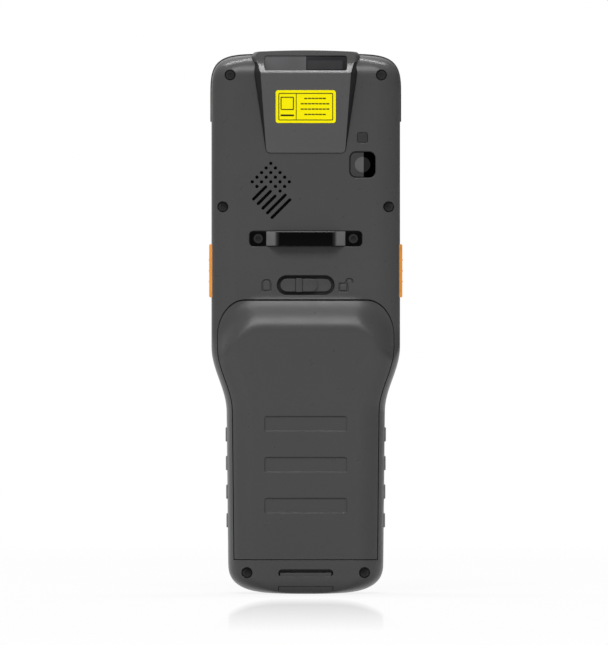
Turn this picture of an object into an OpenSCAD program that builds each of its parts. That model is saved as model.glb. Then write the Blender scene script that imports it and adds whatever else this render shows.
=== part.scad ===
// Handheld barcode data terminal: two housing shells, a removable battery pack
// locked by a sliding latch, a scan head under a raised cover, a touch display,
// a sprung keypad, two sprung side keys and a rubber port flap.
// X is across the body, -Y is the back, +Y is the screen side, Z runs up from the foot.

/* [Body] */
// Length of the two housing shells from foot to crown
body_l = 210; // [202:1:224]
// Width across the side walls above the waist
body_w = 73.5; // [71:0.5:80]
// Width of the grip just under the waist
grip_w = 61.7; // [59:0.1:66]
// Width of the grip at its foot
foot_w = 60.5; // [58:0.1:64]
// Depth of the two shells at the screen, without keys and battery bulge
body_t = 22.5; // [21.5:0.5:26]
// Depth of the front shell from its face to the split line
front_t = 10.75; // [10.75:0.25:12]
// Wall of both shells
wall = 2; // [1.6:0.1:2.2]
// Distance from the battery cover's top seam down to the start of the waist
waist_drop = 43.6; // [40:0.2:48]
// Length of the widening above it
waist_run = 25.6; // [22:0.2:28]
// Length of the crown's round, from the straight side walls to the top
crown_run = 16.2; // [14:0.2:19]
// Round of the front edges
front_edge = 3; // [2:0.25:4]

/* [Battery bulge] */
// How far the battery bulge stands behind the upper back face
bulge_t = 6; // [5:0.25:8]
// Height of the seam at the foot of the battery cover
cover_low = 13.2; // [12:0.2:15]
// Distance from the crown to the battery cover's top seam
upper_l = 95.8; // [93:0.2:99]
// Distance from the side walls to the cover's seam
cover_side = 2.2; // [1.9:0.1:2.6]
// Length of the slope from the bulge up to the cover's top seam
slope_run = 11.2; // [9:0.2:14]
// Wall of the battery cover
cover_wall = 1.8; // [1.4:0.1:2]
// Open seam round the cover
cover_gap = 0.4; // [0.35:0.05:0.5]
// Width of the battery
cell_w = 44; // [38:0.5:45]
// Distance from the cover's top seam to the upper end of the battery
cell_drop = 14.2; // [13.2:0.2:24]
// Clearance round the battery in its bay
cell_gap = 0.6; // [0.5:0.05:0.8]
// Length of each shallow pocket across the cover
pocket_l = 31.8; // [26:0.2:34]
// Step from one pocket to the next
pocket_step = 15.9; // [14:0.1:18]
// Depth of those pockets
pocket_t = 0.5; // [0.3:0.05:0.8]

/* [Latch] */
// Height of the latch slot over the battery cover's top seam
latch_rise = 5.9; // [5.6:0.1:7]
// Length of the latch slot
latch_l = 22.5; // [21:0.5:25]
// Width of the latch slot
latch_h = 7.6; // [7:0.2:8.4]
// Length of the knob
knob_l = 14.4; // [12:0.2:15]
// Width of the knob
knob_h = 5; // [4:0.2:5.4]
// Travel of the latch from locked to open
latch_travel = 5; // [3:0.5:5]
// Width of the tongue that locks the cover
tongue_w = 9; // [7:0.5:11]

/* [Strap] */
// Height of the strap bridge over the battery cover's top seam
bridge_rise = 24; // [22:0.5:26]
// Length of the strap bridge
bridge_l = 43.6; // [40:0.2:48]
// Width of the strap bridge along the body
bridge_h = 5.6; // [4.8:0.1:6.4]
// Thickness of the bridge metal
bridge_t = 1.2; // [1:0.1:1.5]
// Rise of the bridge over the back face
bridge_up = 3.6; // [3:0.1:4.5]
// Width of the strap slots at the foot
strap_w = 21.4; // [18:0.2:24]

/* [Scan head] */
// How far the scan cover stands behind the upper back face at its upper end
scan_up = 5.5; // [4.5:0.25:6]
// How far it stands at its lower end
scan_step = 1; // [0.8:0.1:2]
// How far it stands over the crown
scan_over = 1.5; // [1:0.1:2]
// Length of the scan cover
scan_l = 39.5; // [37:0.5:42]
// Half width of the scan cover at its upper end
scan_wide = 21.4; // [20:0.2:22.4]
// Half width of the scan cover at its lower end
scan_narrow = 15.4; // [14.6:0.2:16.4]
// Width of the scan window
window_w = 32.2; // [28:0.2:33]
// Height of the scan window along the slanted face
window_h = 6.2; // [5.4:0.1:6.6]
// Width of the label
label_w = 23.4; // [20:0.2:25]
// Height of the label
label_h = 12.9; // [11:0.1:14]

/* [Camera and speaker] */
// Width of the square camera window
camera_w = 10.1; // [9:0.1:11]
// Place of the camera and the flash between the scan cover and the side wall, as a share
camera_share = 0.314; // [0.29:0.002:0.34]
// Distance of the camera window from the crown
camera_drop = 43; // [42:0.5:45]
// Width of the flash window
flash_w = 4.1; // [3.6:0.1:5]
// Distance of the flash window from the crown
flash_drop = 32.5; // [31.5:0.25:33.5]
// Diameter of each round speaker hole
speaker_d = 1.2; // [0.9:0.1:1.4]
// Step of the speaker hole lattice
speaker_step = 1.8; // [1.7:0.05:1.9]
// Width of the slanted speaker slots
speaker_slot = 0.9; // [0.7:0.05:1.1]

/* [Display] */
// Width of the touch lens
lens_w = 60; // [56:0.5:62]
// Distance from the scan key up to the touch lens
lens_rise = 15; // [13:0.5:20]
// Thickness of the touch lens
lens_t = 1.2; // [0.9:0.1:1.3]
// Distance of the lens edge from the crown
lens_drop = 7.5; // [7:0.25:9]
// Thickness of the display panel
panel_t = 2.6; // [2.2:0.1:2.8]

/* [Keypad] */
// How far the keys stand over the front face
key_up = 1; // [0.9:0.05:1.4]
// Travel of each key
key_travel = 0.8; // [0.5:0.05:0.9]
// Clearance round each key in its hole
key_gap = 0.35; // [0.3:0.05:0.45]
// Width of a digit key
digit_w = 13.4; // [11:0.2:14]
// Height of a digit key
digit_h = 7.6; // [6.6:0.1:8]
// Step from one row of digit keys to the next
row_step = 11; // [10.6:0.1:11.4]
// Step from one column of digit keys to the next
column_step = 17; // [16.6:0.2:17.6]
// Height of the lowest row of keys
keypad_low = 20; // [19:0.5:21]
// Length of the scan key
scan_key_w = 21; // [18:0.5:23]
// Height of the scan key
scan_key_h = 13; // [11:0.5:14]
// Distance from the side walls to the middles of the keys beside the scan key
side_inset = 15.75; // [15:0.25:17]

/* [Side keys] */
// Length of the side keys
side_key_l = 20.7; // [18:0.1:23]
// How far the side keys stand out of the side walls
side_key_up = 0.9; // [0.7:0.05:1.1]
// Travel of the side keys
side_key_travel = 0.6; // [0.3:0.05:0.6]
// Height of the side keys' middle over the battery cover's top seam
side_key_rise = 11.5; // [11:0.25:13]

/* [Rubber] */
// How far the corner bumper stands over the shell
bumper_up = 0.5; // [0.3:0.05:0.8]
// Length of the bumper down from the crown
bumper_l = 26; // [21:0.5:31]
// Height of each grip rib
rib_h = 5.6; // [4.8:0.1:6.6]
// Step between grip ribs
rib_step = 11.15; // [10.6:0.05:11.8]
// Width of the port flap
flap_w = 27.9; // [24:0.1:30]

/* [Fasteners] */
// Diameter of the housing screw heads
screw_d = 4.1; // [3.6:0.1:4.3]
// Diameter of the screw shanks
shank_d = 2.5; // [2:0.1:2.6]

/* [Hidden] */

// Facets of a full turn, and the overshoot that makes a cut clean
turn = 48;
over = 1;
// Clearance between pieces that are fixed but not bonded
fit = 0.1;

// Planes across the depth, with the whole depth centred on the origin
front_y = (body_t + bulge_t - key_up) / 2;
back_y = front_y - body_t;
bulge_y = back_y - bulge_t;
split_y = front_y - front_t;
inner_front = front_y - wall;
inner_back = back_y + wall;

// The battery cover's seam and the rebate it sits in
cover_top = body_l - upper_l;
slope_low = cover_top - slope_run;
slope_lead = 2;
slope_top = cover_top + slope_lead;
rebate_t = 3.3;
rebate_y = back_y + rebate_t;
ledge_t = 1.6;
bay_floor = 1.2;
bay_wall = 1.4;
cell_rise = 6.8;
cell_air = 1.15;
cell_low = cover_low + cell_rise;
cell_l = cover_top - cell_drop - cell_low;
cell_back = bulge_y + cover_wall + cell_air;
bay_y = split_y - bay_floor - 1.8;
cell_front = bay_y - cell_gap;
bay_top_gap = cell_gap + 0.6;

// Rounds of the body's ends and of its edges
foot_flat = 8;
foot_run = 12.5;
foot_power = 2.8;
foot_depth = 4.5;
foot_back_run = 7;
crown_power = 3.5;
shoulder_power = 7;
crown_depth = 9;
crown_back_run = 9;
edge_wide = 10;
edge_deep = 6;
grip_edge_wide = 10.4;
grip_edge_deep = 12;
edge_steps = 6;
front_steps = 3;

waist_low = cover_top - waist_drop;
waist_top = waist_low + waist_run;
crown_low = body_l - crown_run;

// Half width of the side walls away from the ends
function side_half(z) =
    z < waist_low ? foot_w / 2 + (grip_w - foot_w) / 2 * max(0, z - foot_run) / (waist_low - foot_run)
    : z > waist_top ? body_w / 2
    : grip_w / 2 + (body_w - grip_w) / 2 * (1 - cos(180 * (z - waist_low) / waist_run)) / 2;

// Half width of the outline at height z, grown outwards by g
function half_w(z, g) =
    z < foot_run ? foot_flat + (foot_w / 2 - foot_flat + g)
        * pow(max(0, 1 - pow((foot_run - z) / (foot_run + g), foot_power)), 1 / foot_power)
    : z < crown_low ? side_half(z) + g
    : max(1, (body_w / 2 + g)
        * pow(max(0, 1 - pow((z - crown_low) / (crown_run + g), crown_power)), 1 / shoulder_power));

// Share of the battery bulge at height z: 1 on the grip, 0 above the slope
function bulge(z) =
    z < slope_low ? 1 : z > slope_top ? 0 : (1 + cos(180 * (z - slope_low) / (slope_top - slope_low))) / 2;

// How far a rounded end pulls a face in, at a distance from the end
function end_pull(from_end, run, depth) =
    from_end >= run ? 0 : depth * (1 - sqrt(max(0, 1 - pow(1 - from_end / run, 2))));

// Back and front faces at height z, grown outwards by g
function face_back(z, g) =
    back_y - bulge_t * bulge(z) - g
    + end_pull(z + g, foot_back_run + g, foot_depth)
    + end_pull(body_l + g - z, crown_back_run + g, crown_depth);
function face_front(z, g) =
    front_y + g - end_pull(z + g, front_edge + g, front_edge) - end_pull(body_l + g - z, front_edge + g, front_edge);

// Right half of the section at height z, from the back round the side to the front
function half_section(z, g) =
    let (w = half_w(z, g), b = face_back(z, g), f = face_front(z, g),
        wide = min(edge_wide + (grip_edge_wide - edge_wide) * bulge(z) + g, w * 0.7),
        deep = min(edge_deep + (grip_edge_deep - edge_deep) * bulge(z) + g, (f - b) * 0.55),
        nose = min(front_edge + g, w * 0.3))
    [each [for (i = [0:edge_steps]) let (t = 90 * i / edge_steps)
            [w - wide + wide * sin(t), b + deep - deep * cos(t), z]],
     each [for (i = [0:front_steps]) let (t = 90 * i / front_steps)
            [w - nose + nose * cos(t), f - nose + nose * sin(t), z]]];

// Heights of the sections, closer together where the outline turns
function levels(g) = [
    for (i = [0:8]) foot_run - (foot_run + g) * pow(sin(90 - 90 * i / 8), 2 / foot_power),
    for (i = [1:10]) waist_low + waist_run * (i - 1) / 9,
    for (i = [0:7]) slope_low + (slope_top - slope_low) * i / 7,
    for (i = [0:11]) crown_low + (crown_run + g) * pow(sin(90 * i / 11), 2 / crown_power)];

// A closed solid through sections that mirror in X
module loft(halves) {
    n = len(halves[0]);
    rings = [for (h = halves) concat(h, [for (i = [n - 1:-1:0]) [-h[i][0], h[i][1], h[i][2]]])];
    m = 2 * n;
    last = (len(rings) - 1) * m;
    points = [for (r = rings) each r];
    sides = [for (k = [0:len(rings) - 2]) for (i = [0:m - 1]) let (a = k * m + i, b = k * m + (i + 1) % m)
        each [[a, a + m, b], [b, a + m, b + m]]];
    low_cap = [for (i = [0:n - 2]) [i, i + 1, m - 2 - i, m - 1 - i]];
    high_cap = [for (i = [0:n - 2]) [last + m - 1 - i, last + m - 2 - i, last + i + 1, last + i]];
    polyhedron(points, concat(sides, low_cap, high_cap));
}

// The whole body, grown by g
module body_solid(g = 0) {
    loft([for (z = levels(g)) half_section(z, g)]);
}

// Outline of the whole body in X and Z, grown by g
module outline_shape(g) {
    right = [for (z = levels(g)) [half_w(z, g), z]];
    polygon(concat(right, [for (i = [len(right) - 1:-1:0]) [-right[i][0], right[i][1]]]));
}

// Box between two corners
module block(low, high) {
    translate(low) cube(high - low);
}

// Plate between two depths, from a flat shape drawn in X and Z
module plate(y0, y1) {
    translate([0, y1, 0]) rotate([90, 0, 0]) linear_extrude(y1 - y0) children();
}

// Round bar along Y
module y_bar(x, z, y0, y1, d) {
    translate([x, y0, z]) rotate([-90, 0, 0]) cylinder(d = d, h = y1 - y0, $fn = turn);
}

module rounded(w, h, r) {
    square([w - 2 * r, h], center = true);
    square([w, h - 2 * r], center = true);
    for (x = [-1, 1]) for (z = [-1, 1]) translate([x * (w / 2 - r), z * (h / 2 - r)]) circle(r, $fn = turn);
}

module stadium(l, h) {
    square([l - h, h], center = true);
    for (x = [-1, 1]) translate([x * (l - h) / 2, 0]) circle(d = h, $fn = turn);
}

// Copies on the left and the right
module both_sides() {
    children();
    mirror([1, 0, 0]) children();
}

// Outline of the battery cover in X and Z, shrunk by s
cover_round_x = 11;
cover_round_z = 14;
function cover_outline(s) =
    let (low = cover_low + s, top = cover_top - s, inset = cover_side + s, corner = cover_top - cover_round_z,
        rx = cover_round_x - s, rz = cover_round_z - s,
        right = concat(
            [[side_half(low) - inset, low]],
            [for (i = [0:8]) let (z = waist_low + waist_run * i / 8) [side_half(z) - inset, z]],
            [for (i = [0:7]) let (t = 90 * i / 7)
                [side_half(corner) - inset - rx + rx * cos(t), corner + rz * sin(t)]]))
    concat(right, [for (i = [len(right) - 1:-1:0]) [-right[i][0], right[i][1]]]);

module cover_shape(s) {
    polygon(cover_outline(s));
}

// Housing screws: x, z of each screw on the right, and the depth of its head's seat
low_inset = 7.4;
low_rise = 8.35;
low_seat = 3.9;
mid_inset = 4.45;
mid_drop = 59.4;
mid_seat = 4.4;
high_inset = 7.3;
high_drop = 8.1;
high_seat = 3.4;
screw_low = [foot_w / 2 - low_inset, low_rise, bulge_y + low_seat];
screw_mid = [body_w / 2 - mid_inset, body_l - mid_drop, back_y + mid_seat];
screw_high = [body_w / 2 - high_inset, body_l - high_drop, back_y + high_seat];
screw_spots = [screw_low, screw_mid, screw_high];
screw_sink = 0.35;
head_t = 1.6;
drive_l = 2;
drive_w = 0.6;
drive_t = 0.8;
boss_wall = 0.9;
boss_d = screw_d + 2 * (screw_sink + boss_wall);
post_d = shank_d + 3;
thread_depth = 5;

module screw_bosses(y0, y1, d) {
    both_sides() for (s = screw_spots) y_bar(s[0], s[1], y0, y1, d);
}

// Places on the upper back
latch_z = cover_top + latch_rise;
bridge_z = cover_top + bridge_rise;
side_key_z = cover_top + side_key_rise;
camera_x = scan_narrow + (body_w / 2 - scan_narrow) * camera_share;
camera_z = body_l - camera_drop;
flash_z = body_l - flash_drop;
label_drop = 20.5;
label_z = body_l - label_drop;
speaker_drop = 42.5;
speaker_x = -13.6;
speaker_z = body_l - speaker_drop;

// Latch parts across the depth
slide_t = 1.2;
slide_back = inner_back + fit;
slide_front = slide_back + slide_t;
slide_rim = 1.2;
slide_low = latch_z - latch_h / 2 - 0.5;
slide_high = latch_z + latch_h / 2 + slide_rim;
slide_half = latch_l / 2 + latch_travel / 2 + slide_rim;
rail_gap = 0.3;
rail_t = 1.2;
tongue_reach = 3;
knob_in = 0.35;
knob_shift = -2.6;
rim_t = 1.2;
detent_t = 0.4;
detent_drop = 2;

// Speaker pattern: holes as lattice steps [across, down], then the slots' ends
speaker_holes = [[0, 0], [-1, 1], [1, 1], [-2, 2], [0, 2], [2, 2], [-3, 3], [-1, 3], [1, 3], [3, 3],
    [-4, 4], [-2, 4], [0, 4], [2, 4], [4, 4], [-3, 5], [1, 5], [3, 5], [2, 6]];
speaker_slots = [[-1, 5, 2.8], [0, 6, 2.8], [1, 7, 2.8], [3.2, 6.8, 4], [4.2, 7.8, 4]];

module speaker_pattern() {
    translate([speaker_x, speaker_z]) {
        for (h = speaker_holes) translate(speaker_step * [h[0], -h[1]]) circle(d = speaker_d, $fn = 24);
        for (s = speaker_slots) translate(speaker_step * [s[0] - s[2] / 2, -s[1] - s[2] / 2])
            rotate(45) stadium(s[2] * speaker_step * sqrt(2), speaker_slot);
    }
}

// Scan cover: a tapered raised block with a slanted window face
scan_top = body_l + scan_over;
scan_low = scan_top - scan_l;
scan_y = back_y - scan_up;
scan_root = inner_back + 1.2;
scan_face_z = scan_top - 8.7;
scan_face_y = scan_y + 5.75;
scan_bevel = 2.5;
scan_wall = 1.6;
scan_seat = split_y - 1.2;
scan_edge = 0.8;
scan_tilt = atan2(scan_up - scan_step, scan_face_z - scan_low);
face_tilt = atan2(scan_top - scan_face_z, scan_face_y - scan_y);
face_l = norm([scan_top - scan_face_z, scan_face_y - scan_y]);
window_t = 1.5;
window_mid = face_l * 0.43;

// How far the scan cover's sloping face stands behind the back face at height z
function scan_rise(z) = scan_step + (scan_up - scan_step) * (z - scan_low) / (scan_face_z - scan_low);

// Half width of the scan cover where it leaves the back face, and at its outer face
function scan_half(z) = scan_narrow + (scan_wide - scan_narrow) * (z - scan_low) / (scan_top - scan_low);
function scan_half_out(z) = scan_half(z) - scan_bevel * scan_rise(z) / scan_up;

// Block between the root plane and the sloping outer face, shrunk by s at its sides
module scan_wedge(s) {
    ends = [scan_low - over, scan_top + over];
    points = concat(
        [for (y = [scan_seat + over, back_y]) for (z = ends) for (x = [-1, 1]) [x * (scan_half(z) - s), y, z]],
        [for (z = ends) for (x = [-1, 1]) [x * (scan_half_out(z) - s), back_y - scan_rise(z), z]]);
    layers = [for (k = [0, 4]) each [[k, k + 2, k + 6], [k, k + 6, k + 4], [k + 1, k + 5, k + 7],
        [k + 1, k + 7, k + 3], [k, k + 4, k + 5], [k, k + 5, k + 1], [k + 2, k + 3, k + 7], [k + 2, k + 7, k + 6]]];
    polyhedron(points, concat(layers, [[0, 1, 3], [0, 3, 2], [8, 10, 11], [8, 11, 9]]));
}

// Side profile of the scan cover, in Y and Z, shrunk by s on its outer faces
module scan_profile(s) {
    translate([-scan_wide - over, 0, 0]) rotate([90, 0, 90]) linear_extrude(2 * (scan_wide + over))
        polygon([[scan_root, scan_low + s], [back_y - scan_step / 2 + s, scan_low + s],
            [back_y - scan_rise(scan_low + scan_edge) + s, scan_low + scan_edge + s],
            [scan_y + s, scan_face_z - s * 0.3], [scan_face_y + s, scan_top - s],
            [scan_seat, scan_top - s], [scan_seat, scan_top - 6], [scan_root, scan_face_z - 4]]);
}

module scan_block(s) {
    intersection() {
        scan_wedge(s);
        scan_profile(s);
        plate(scan_y - over, split_y) outline_shape(scan_over - s);
    }
}

// Stand on the slanted window face: X across, Y up the slope, Z outwards
module on_window_face() {
    translate([0, scan_y, scan_face_z]) rotate([face_tilt, 0, 0]) translate([0, window_mid, 0]) children();
}

// Front openings
upper_row = keypad_low + 4 * row_step + 1.5;
scan_row = upper_row + scan_key_h / 2 + 11;
lens_low = scan_row + scan_key_h / 2 + lens_rise;
lens_l = body_l - lens_drop - lens_low;
lens_z = lens_low + lens_l / 2;
lens_round = 5;
lens_gap = 0.15;
gasket_t = 0.9;
panel_w = lens_w - 4;
panel_l = lens_l - 5;
panel_back = front_y - lens_t - gasket_t - panel_t;
lens_frame = 4;

// Keypad: x, z, width, height, corner of each key
key_round = 1.6;
function digit_spot(column, row) =
    [column_step * (column - 1), keypad_low + row_step * (3 - row), digit_w, digit_h, key_round];
function function_spot(i) = [13 * (i - 2.5), upper_row, 10.6, 6.6, key_round];
scan_spot = [0, scan_row, scan_key_w, scan_key_h, 5];
menu_spot = [side_inset - body_w / 2, scan_row, 11, 8, 3];
back_spot = [body_w / 2 - side_inset, scan_row, 11, 8, 3];
power_spot = [-19.5, upper_row + 8.4, 7, 4.4, 2];
clear_spot = digit_spot(0, 3);
enter_spot = digit_spot(2, 3);
digit_places = [[1, 3], [0, 0], [1, 0], [2, 0], [0, 1], [1, 1], [2, 1], [0, 2], [1, 2], [2, 2]];
function digit(n) = digit_spot(digit_places[n][0], digit_places[n][1]);
key_spots = concat([scan_spot, menu_spot, back_spot, power_spot, clear_spot, enter_spot],
    [for (i = [1:4]) function_spot(i)], [for (n = [0:9]) digit(n)]);
flange = 0.8;
flange_t = 1;

module key_shape(spot, grow) {
    translate([spot[0], spot[1]]) rounded(spot[2] + 2 * grow, spot[3] + 2 * grow, spot[4] + grow);
}

module key_cap(spot) {
    top = front_y + key_up;
    plate(inner_front - fit - flange_t, inner_front - fit) key_shape(spot, flange);
    plate(inner_front - fit - flange_t / 2, top - 0.4) key_shape(spot, 0);
    plate(top - 0.4, top) key_shape(spot, -0.4);
}

// Boards behind the screen and the keypad
membrane_top = inner_front - fit - flange_t - key_travel - 0.2;
membrane_rim = 8;
dome_d = 4.2;
frame_t = 1;
frame_rim = 11.5;
frame_mid = 22;
frame_hole_w = 30;
frame_out = 2;
board_y = panel_back - frame_t;
board_t = 1.2;
board_back = board_y - board_t;
board_half = body_w / 2 - 4.75;
board_neck = 25.5;
board_low = 11;
can_t = 1.7;
can_h = 20;
can_widths = [20, 22];
can_space = 4;

// Side keys, in the side walls behind the split
side_key_in = 7;
side_key_y = back_y + side_key_in;
side_key_deep = 6.4;
side_key_root = 2.2;

// Port flap and sockets in the foot
flap_y = (back_y + front_y) / 2 + 1;
flap_deep = 8;
flap_t = 1.2;
flap_low = 0.3;
port_floor = flap_low + flap_t + 0.2;
port_t = 1.8;
port_rim = 2;
socket_w = 9;
socket_h = 3.2;
socket_l = 10;
pin_d = 1.2;
pin_spots = [-11.5, -9.5, -7.5, 7.5, 9.5, 11.5];

module flap_shape(g) {
    translate([0, flap_y]) rounded(flap_w + 2 * g, flap_deep + 2 * g, 1.5);
}

// Thick floor over the port flap
module port_pad(g) {
    rim = port_rim + g;
    block([-flap_w / 2 - rim, flap_y - flap_deep / 2 - rim, 1],
        [flap_w / 2 + rim, flap_y + flap_deep / 2 + rim, port_floor + port_t + g]);
}

// Pocket for the flap, and the holes for the socket and the dock contacts
module port_cuts() {
    translate([0, 0, -over]) linear_extrude(port_floor + over) flap_shape(cover_gap);
    translate([0, flap_y, 0]) linear_extrude(port_floor + port_t + over) stadium(socket_w + 2 * fit, socket_h + 2 * fit);
    for (x = pin_spots) translate([x, flap_y, 0]) cylinder(d = pin_d, h = port_floor + port_t + over, $fn = 24);
}

module rear_housing() color("#4a4a4a") difference() {
    union() {
        difference() {
            intersection() {
                body_solid();
                block([-body_w, bulge_y - over, -over], [body_w, split_y, body_l + over]);
            }
            difference() {
                body_solid(-wall);
                rear_insides();
            }
        }
        intersection() {
            body_solid();
            screw_bosses(bulge_y, split_y, boss_d);
        }
        latch_rail();
        bridge_pads();
    }
    plate(bulge_y - over, rebate_y) cover_shape(0);
    bay(0);
    latch_cuts();
    hook_cuts();
    scan_block(0);
    strap_cuts();
    bridge_cuts();
    side_key_cuts();
    port_cuts();
    both_sides() for (s = screw_spots) {
        y_bar(s[0], s[1], bulge_y - over, s[2], screw_d + 2 * screw_sink);
        y_bar(s[0], s[1], s[2] - over, split_y + over, shank_d + 0.4);
    }
    plate(back_y - over, inner_back + over) speaker_pattern();
    plate(back_y - over, inner_back + over) translate([camera_x, camera_z]) circle(d = barrel_d + 0.8, $fn = turn);
    plate(back_y - over, back_y + window_seat) translate([camera_x, camera_z]) rounded(camera_w, camera_w, 2.5);
    plate(back_y - over, inner_back + over) translate([camera_x, flash_z]) rounded(flash_w, flash_w, 1);
    grip_ribs(0);
}

// What stays solid inside the rear shell: the rebate's rim and ledge, the bay, the strap channel, the port floor
module rear_insides() {
    plate(bulge_y - over, rebate_y + over) difference() {
        cover_shape(-rim_t);
        cover_shape(0);
    }
    plate(rebate_y, rebate_y + ledge_t) cover_shape(-rim_t);
    bay(bay_wall);
    block([-strap_w / 2 - 1.4, bulge_y - over, 0], [strap_w / 2 + 1.4, bulge_y + strap_deep + 1.4, cover_low]);
    port_pad(0);
}

// Battery bay: the space behind the ledge, with a shell of thickness t round it
module bay(t) {
    block([-cell_w / 2 - cell_gap - t, rebate_y - (t > 0 ? 0 : over), cell_low - cell_gap - t],
        [cell_w / 2 + cell_gap + t, bay_y + (t > 0 ? bay_floor : 0), cell_low + cell_l + bay_top_gap + t]);
}

// Rail over the latch slide, which also carries the detent leaf
module latch_rail() {
    block([-slide_half - latch_travel, inner_back - fit, slide_high + rail_gap],
        [slide_half + latch_travel, slide_front + fit, slide_high + rail_gap + rail_t]);
}

// Slot for the knob, and the way for the tongue through the rebate's wall
module latch_cuts() {
    plate(back_y - over, inner_back + over) translate([0, latch_z]) stadium(latch_l, latch_h);
    block([knob_shift - tongue_w / 2 - 0.5, slide_back - 0.15, cover_top - over],
        [knob_shift + tongue_w / 2 + latch_travel + 0.5, slide_front + 0.15, slide_low]);
}

// Pockets for the cover's hooks, deep enough for them to swing out
module hook_cuts() {
    both_sides() block([hook_x - hook_w / 2 - 0.4, hook_back - 0.4, cover_low - hook_reach - 0.4],
        [hook_x + hook_w / 2 + 0.4, rebate_y + 0.4, cover_low + over]);
}

// Strap slot through the foot: two mouths joined behind a moulded bar
strap_deep = 5.2;
bar_t = 3;
mouth_high = 8.2;
mouth_low = 1.9;

module strap_cuts() {
    plate(bulge_y - over, bulge_y + strap_deep) translate([0, mouth_high]) stadium(strap_w, 2.9);
    plate(bulge_y - over, bulge_y + strap_deep) translate([0, mouth_low]) square([strap_w, 1.8], center = true);
    block([-strap_w / 2, bulge_y + bar_t, mouth_low - 0.9], [strap_w / 2, bulge_y + strap_deep, mouth_high + 1]);
}

// Strap bridge seat and its screws
bridge_seat = 1;
bridge_screw_x = 18.5;
bridge_screw_d = 3.6;
bridge_shank_d = 1.8;

module bridge_pads() {
    both_sides() y_bar(bridge_screw_x, bridge_z, inner_back - fit, inner_back + 3, 4.6);
}

module bridge_cuts() {
    plate(back_y - over, back_y + bridge_seat) translate([0, bridge_z]) rounded(bridge_l + 0.2, bridge_h + 0.2, 1.6);
    both_sides() y_bar(bridge_screw_x, bridge_z, back_y, inner_back + 2.4, bridge_shank_d);
}

module side_key_cuts() {
    deep = side_key_deep / 2 + cover_gap;
    half = side_key_l / 2 + cover_gap;
    both_sides() block([body_w / 2 - side_key_root - 1.3, side_key_y - deep, side_key_z - half],
        [body_w / 2 + over, side_key_y + deep, side_key_z + half]);
}

module front_housing() color("#454545") difference() {
    union() {
        difference() {
            intersection() {
                body_solid();
                block([-body_w, split_y, -over], [body_w, front_y + over, body_l + over]);
            }
            difference() {
                body_solid(-wall);
                plate(panel_back, front_y) translate([0, lens_z])
                    rounded(lens_w + lens_frame, lens_l + lens_frame, lens_round);
                port_pad(0);
            }
        }
        intersection() {
            body_solid();
            screw_bosses(split_y, inner_front + fit, post_d);
        }
    }
    plate(panel_back - over, front_y + over) translate([0, lens_z])
        rounded(panel_w - 2, panel_l - 2, 1);
    plate(front_y - lens_t, front_y + over) translate([0, lens_z])
        rounded(lens_w + 2 * lens_gap, lens_l + 2 * lens_gap, lens_round);
    plate(panel_back - over, front_y - lens_t - gasket_t + fit) translate([0, lens_z])
        rounded(panel_w + 2 * fit, panel_l + 2 * fit, 1);
    plate(inner_front - over, front_y + over) for (s = key_spots) key_shape(s, key_gap);
    screw_bosses(split_y - over, split_y + thread_depth, shank_d);
    bumper_solid();
    port_cuts();
    plate(front_y - 0.8, front_y + over) translate([0, body_l - 3.6]) stadium(9, 1.2);
}

// Rubber band round the upper end of the front shell
bumper_seat = 1;

module bumper_solid() {
    intersection() {
        difference() {
            body_solid(bumper_up);
            body_solid(-bumper_seat);
        }
        block([-body_w, split_y, body_l - bumper_l], [body_w, front_y - front_edge, body_l + over + bumper_up]);
    }
}

module corner_bumper() color("#5a5a5a") bumper_solid();

// Sealing cord round the split, just inside the walls
module housing_seal() color("#202020") intersection() {
    difference() {
        body_solid(-wall - fit);
        body_solid(-wall - 1);
    }
    block([-body_w, split_y - 0.6, 0], [body_w, split_y + 0.6, body_l]);
    difference() {
        block([-body_w, back_y, 0], [body_w, front_y, body_l]);
        screw_bosses(back_y, front_y, boss_d + 2 * fit);
        port_pad(fit);
    }
}

module housing_screws() color("#1c1c1e") both_sides() for (s = screw_spots) difference() {
    union() {
        y_bar(s[0], s[1], s[2] - head_t, s[2], screw_d);
        y_bar(s[0], s[1], s[2] - fit, split_y + thread_depth - 0.5, shank_d);
    }
    for (a = [0:60:120]) translate([s[0], s[2] - head_t - over, s[1]]) rotate([-90, a, 0])
        translate([-drive_l / 2, -drive_w / 2, 0]) cube([drive_l, drive_w, over + drive_t]);
}

module scanner_cover() color("#545454") difference() {
    scan_block(0);
    intersection() {
        scan_wedge(scan_wall);
        scan_profile(scan_wall);
    }
    on_window_face() translate([0, 0, -window_t - fit]) linear_extrude(window_t + over)
        rounded(window_w + 2 * fit, window_h + 2 * fit, 1.2);
    on_window_face() translate([0, 0, -4]) linear_extrude(5) rounded(window_w - 2, window_h - 1.6, 0.8);
}

module scan_window() color([0.12, 0.12, 0.13, 0.8]) on_window_face()
    translate([0, 0, -window_t - fit]) linear_extrude(window_t - 0.2) rounded(window_w, window_h, 1.1);

// Scan engine, looking up and out through the window, on a bracket that stands on the board
engine_w = 23.6;
engine_low = scan_low + 12;
engine_h = 13;
engine_back = back_y - scan_rise(engine_low) + scan_wall + 0.5;
engine_front = split_y - 1.4;
eye_d = 6;
eye_x = 5.5;
eye_t = 3;
bracket_w = 2;
bracket_t = 0.8;

module engine_eyes(d, h) {
    both_sides() translate([eye_x, engine_back + 5, engine_low + engine_h - eye_t]) cylinder(d = d, h = h, $fn = turn);
}

module scan_engine() color("#2c3236") {
    difference() {
        block([-engine_w / 2, engine_back, engine_low], [engine_w / 2, engine_front, engine_low + engine_h]);
        engine_eyes(eye_d + 0.4, eye_t + over);
    }
    engine_eyes(eye_d, eye_t - 0.5);
}

module scan_bracket() color("#aeb1b4") {
    half = engine_w / 2 + bracket_w;
    high = engine_low + engine_h;
    block([-half, engine_front, engine_low], [half, engine_front + bracket_t, high]);
    both_sides() block([half - bracket_t, engine_front, engine_low], [half, board_back, high]);
}

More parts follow.
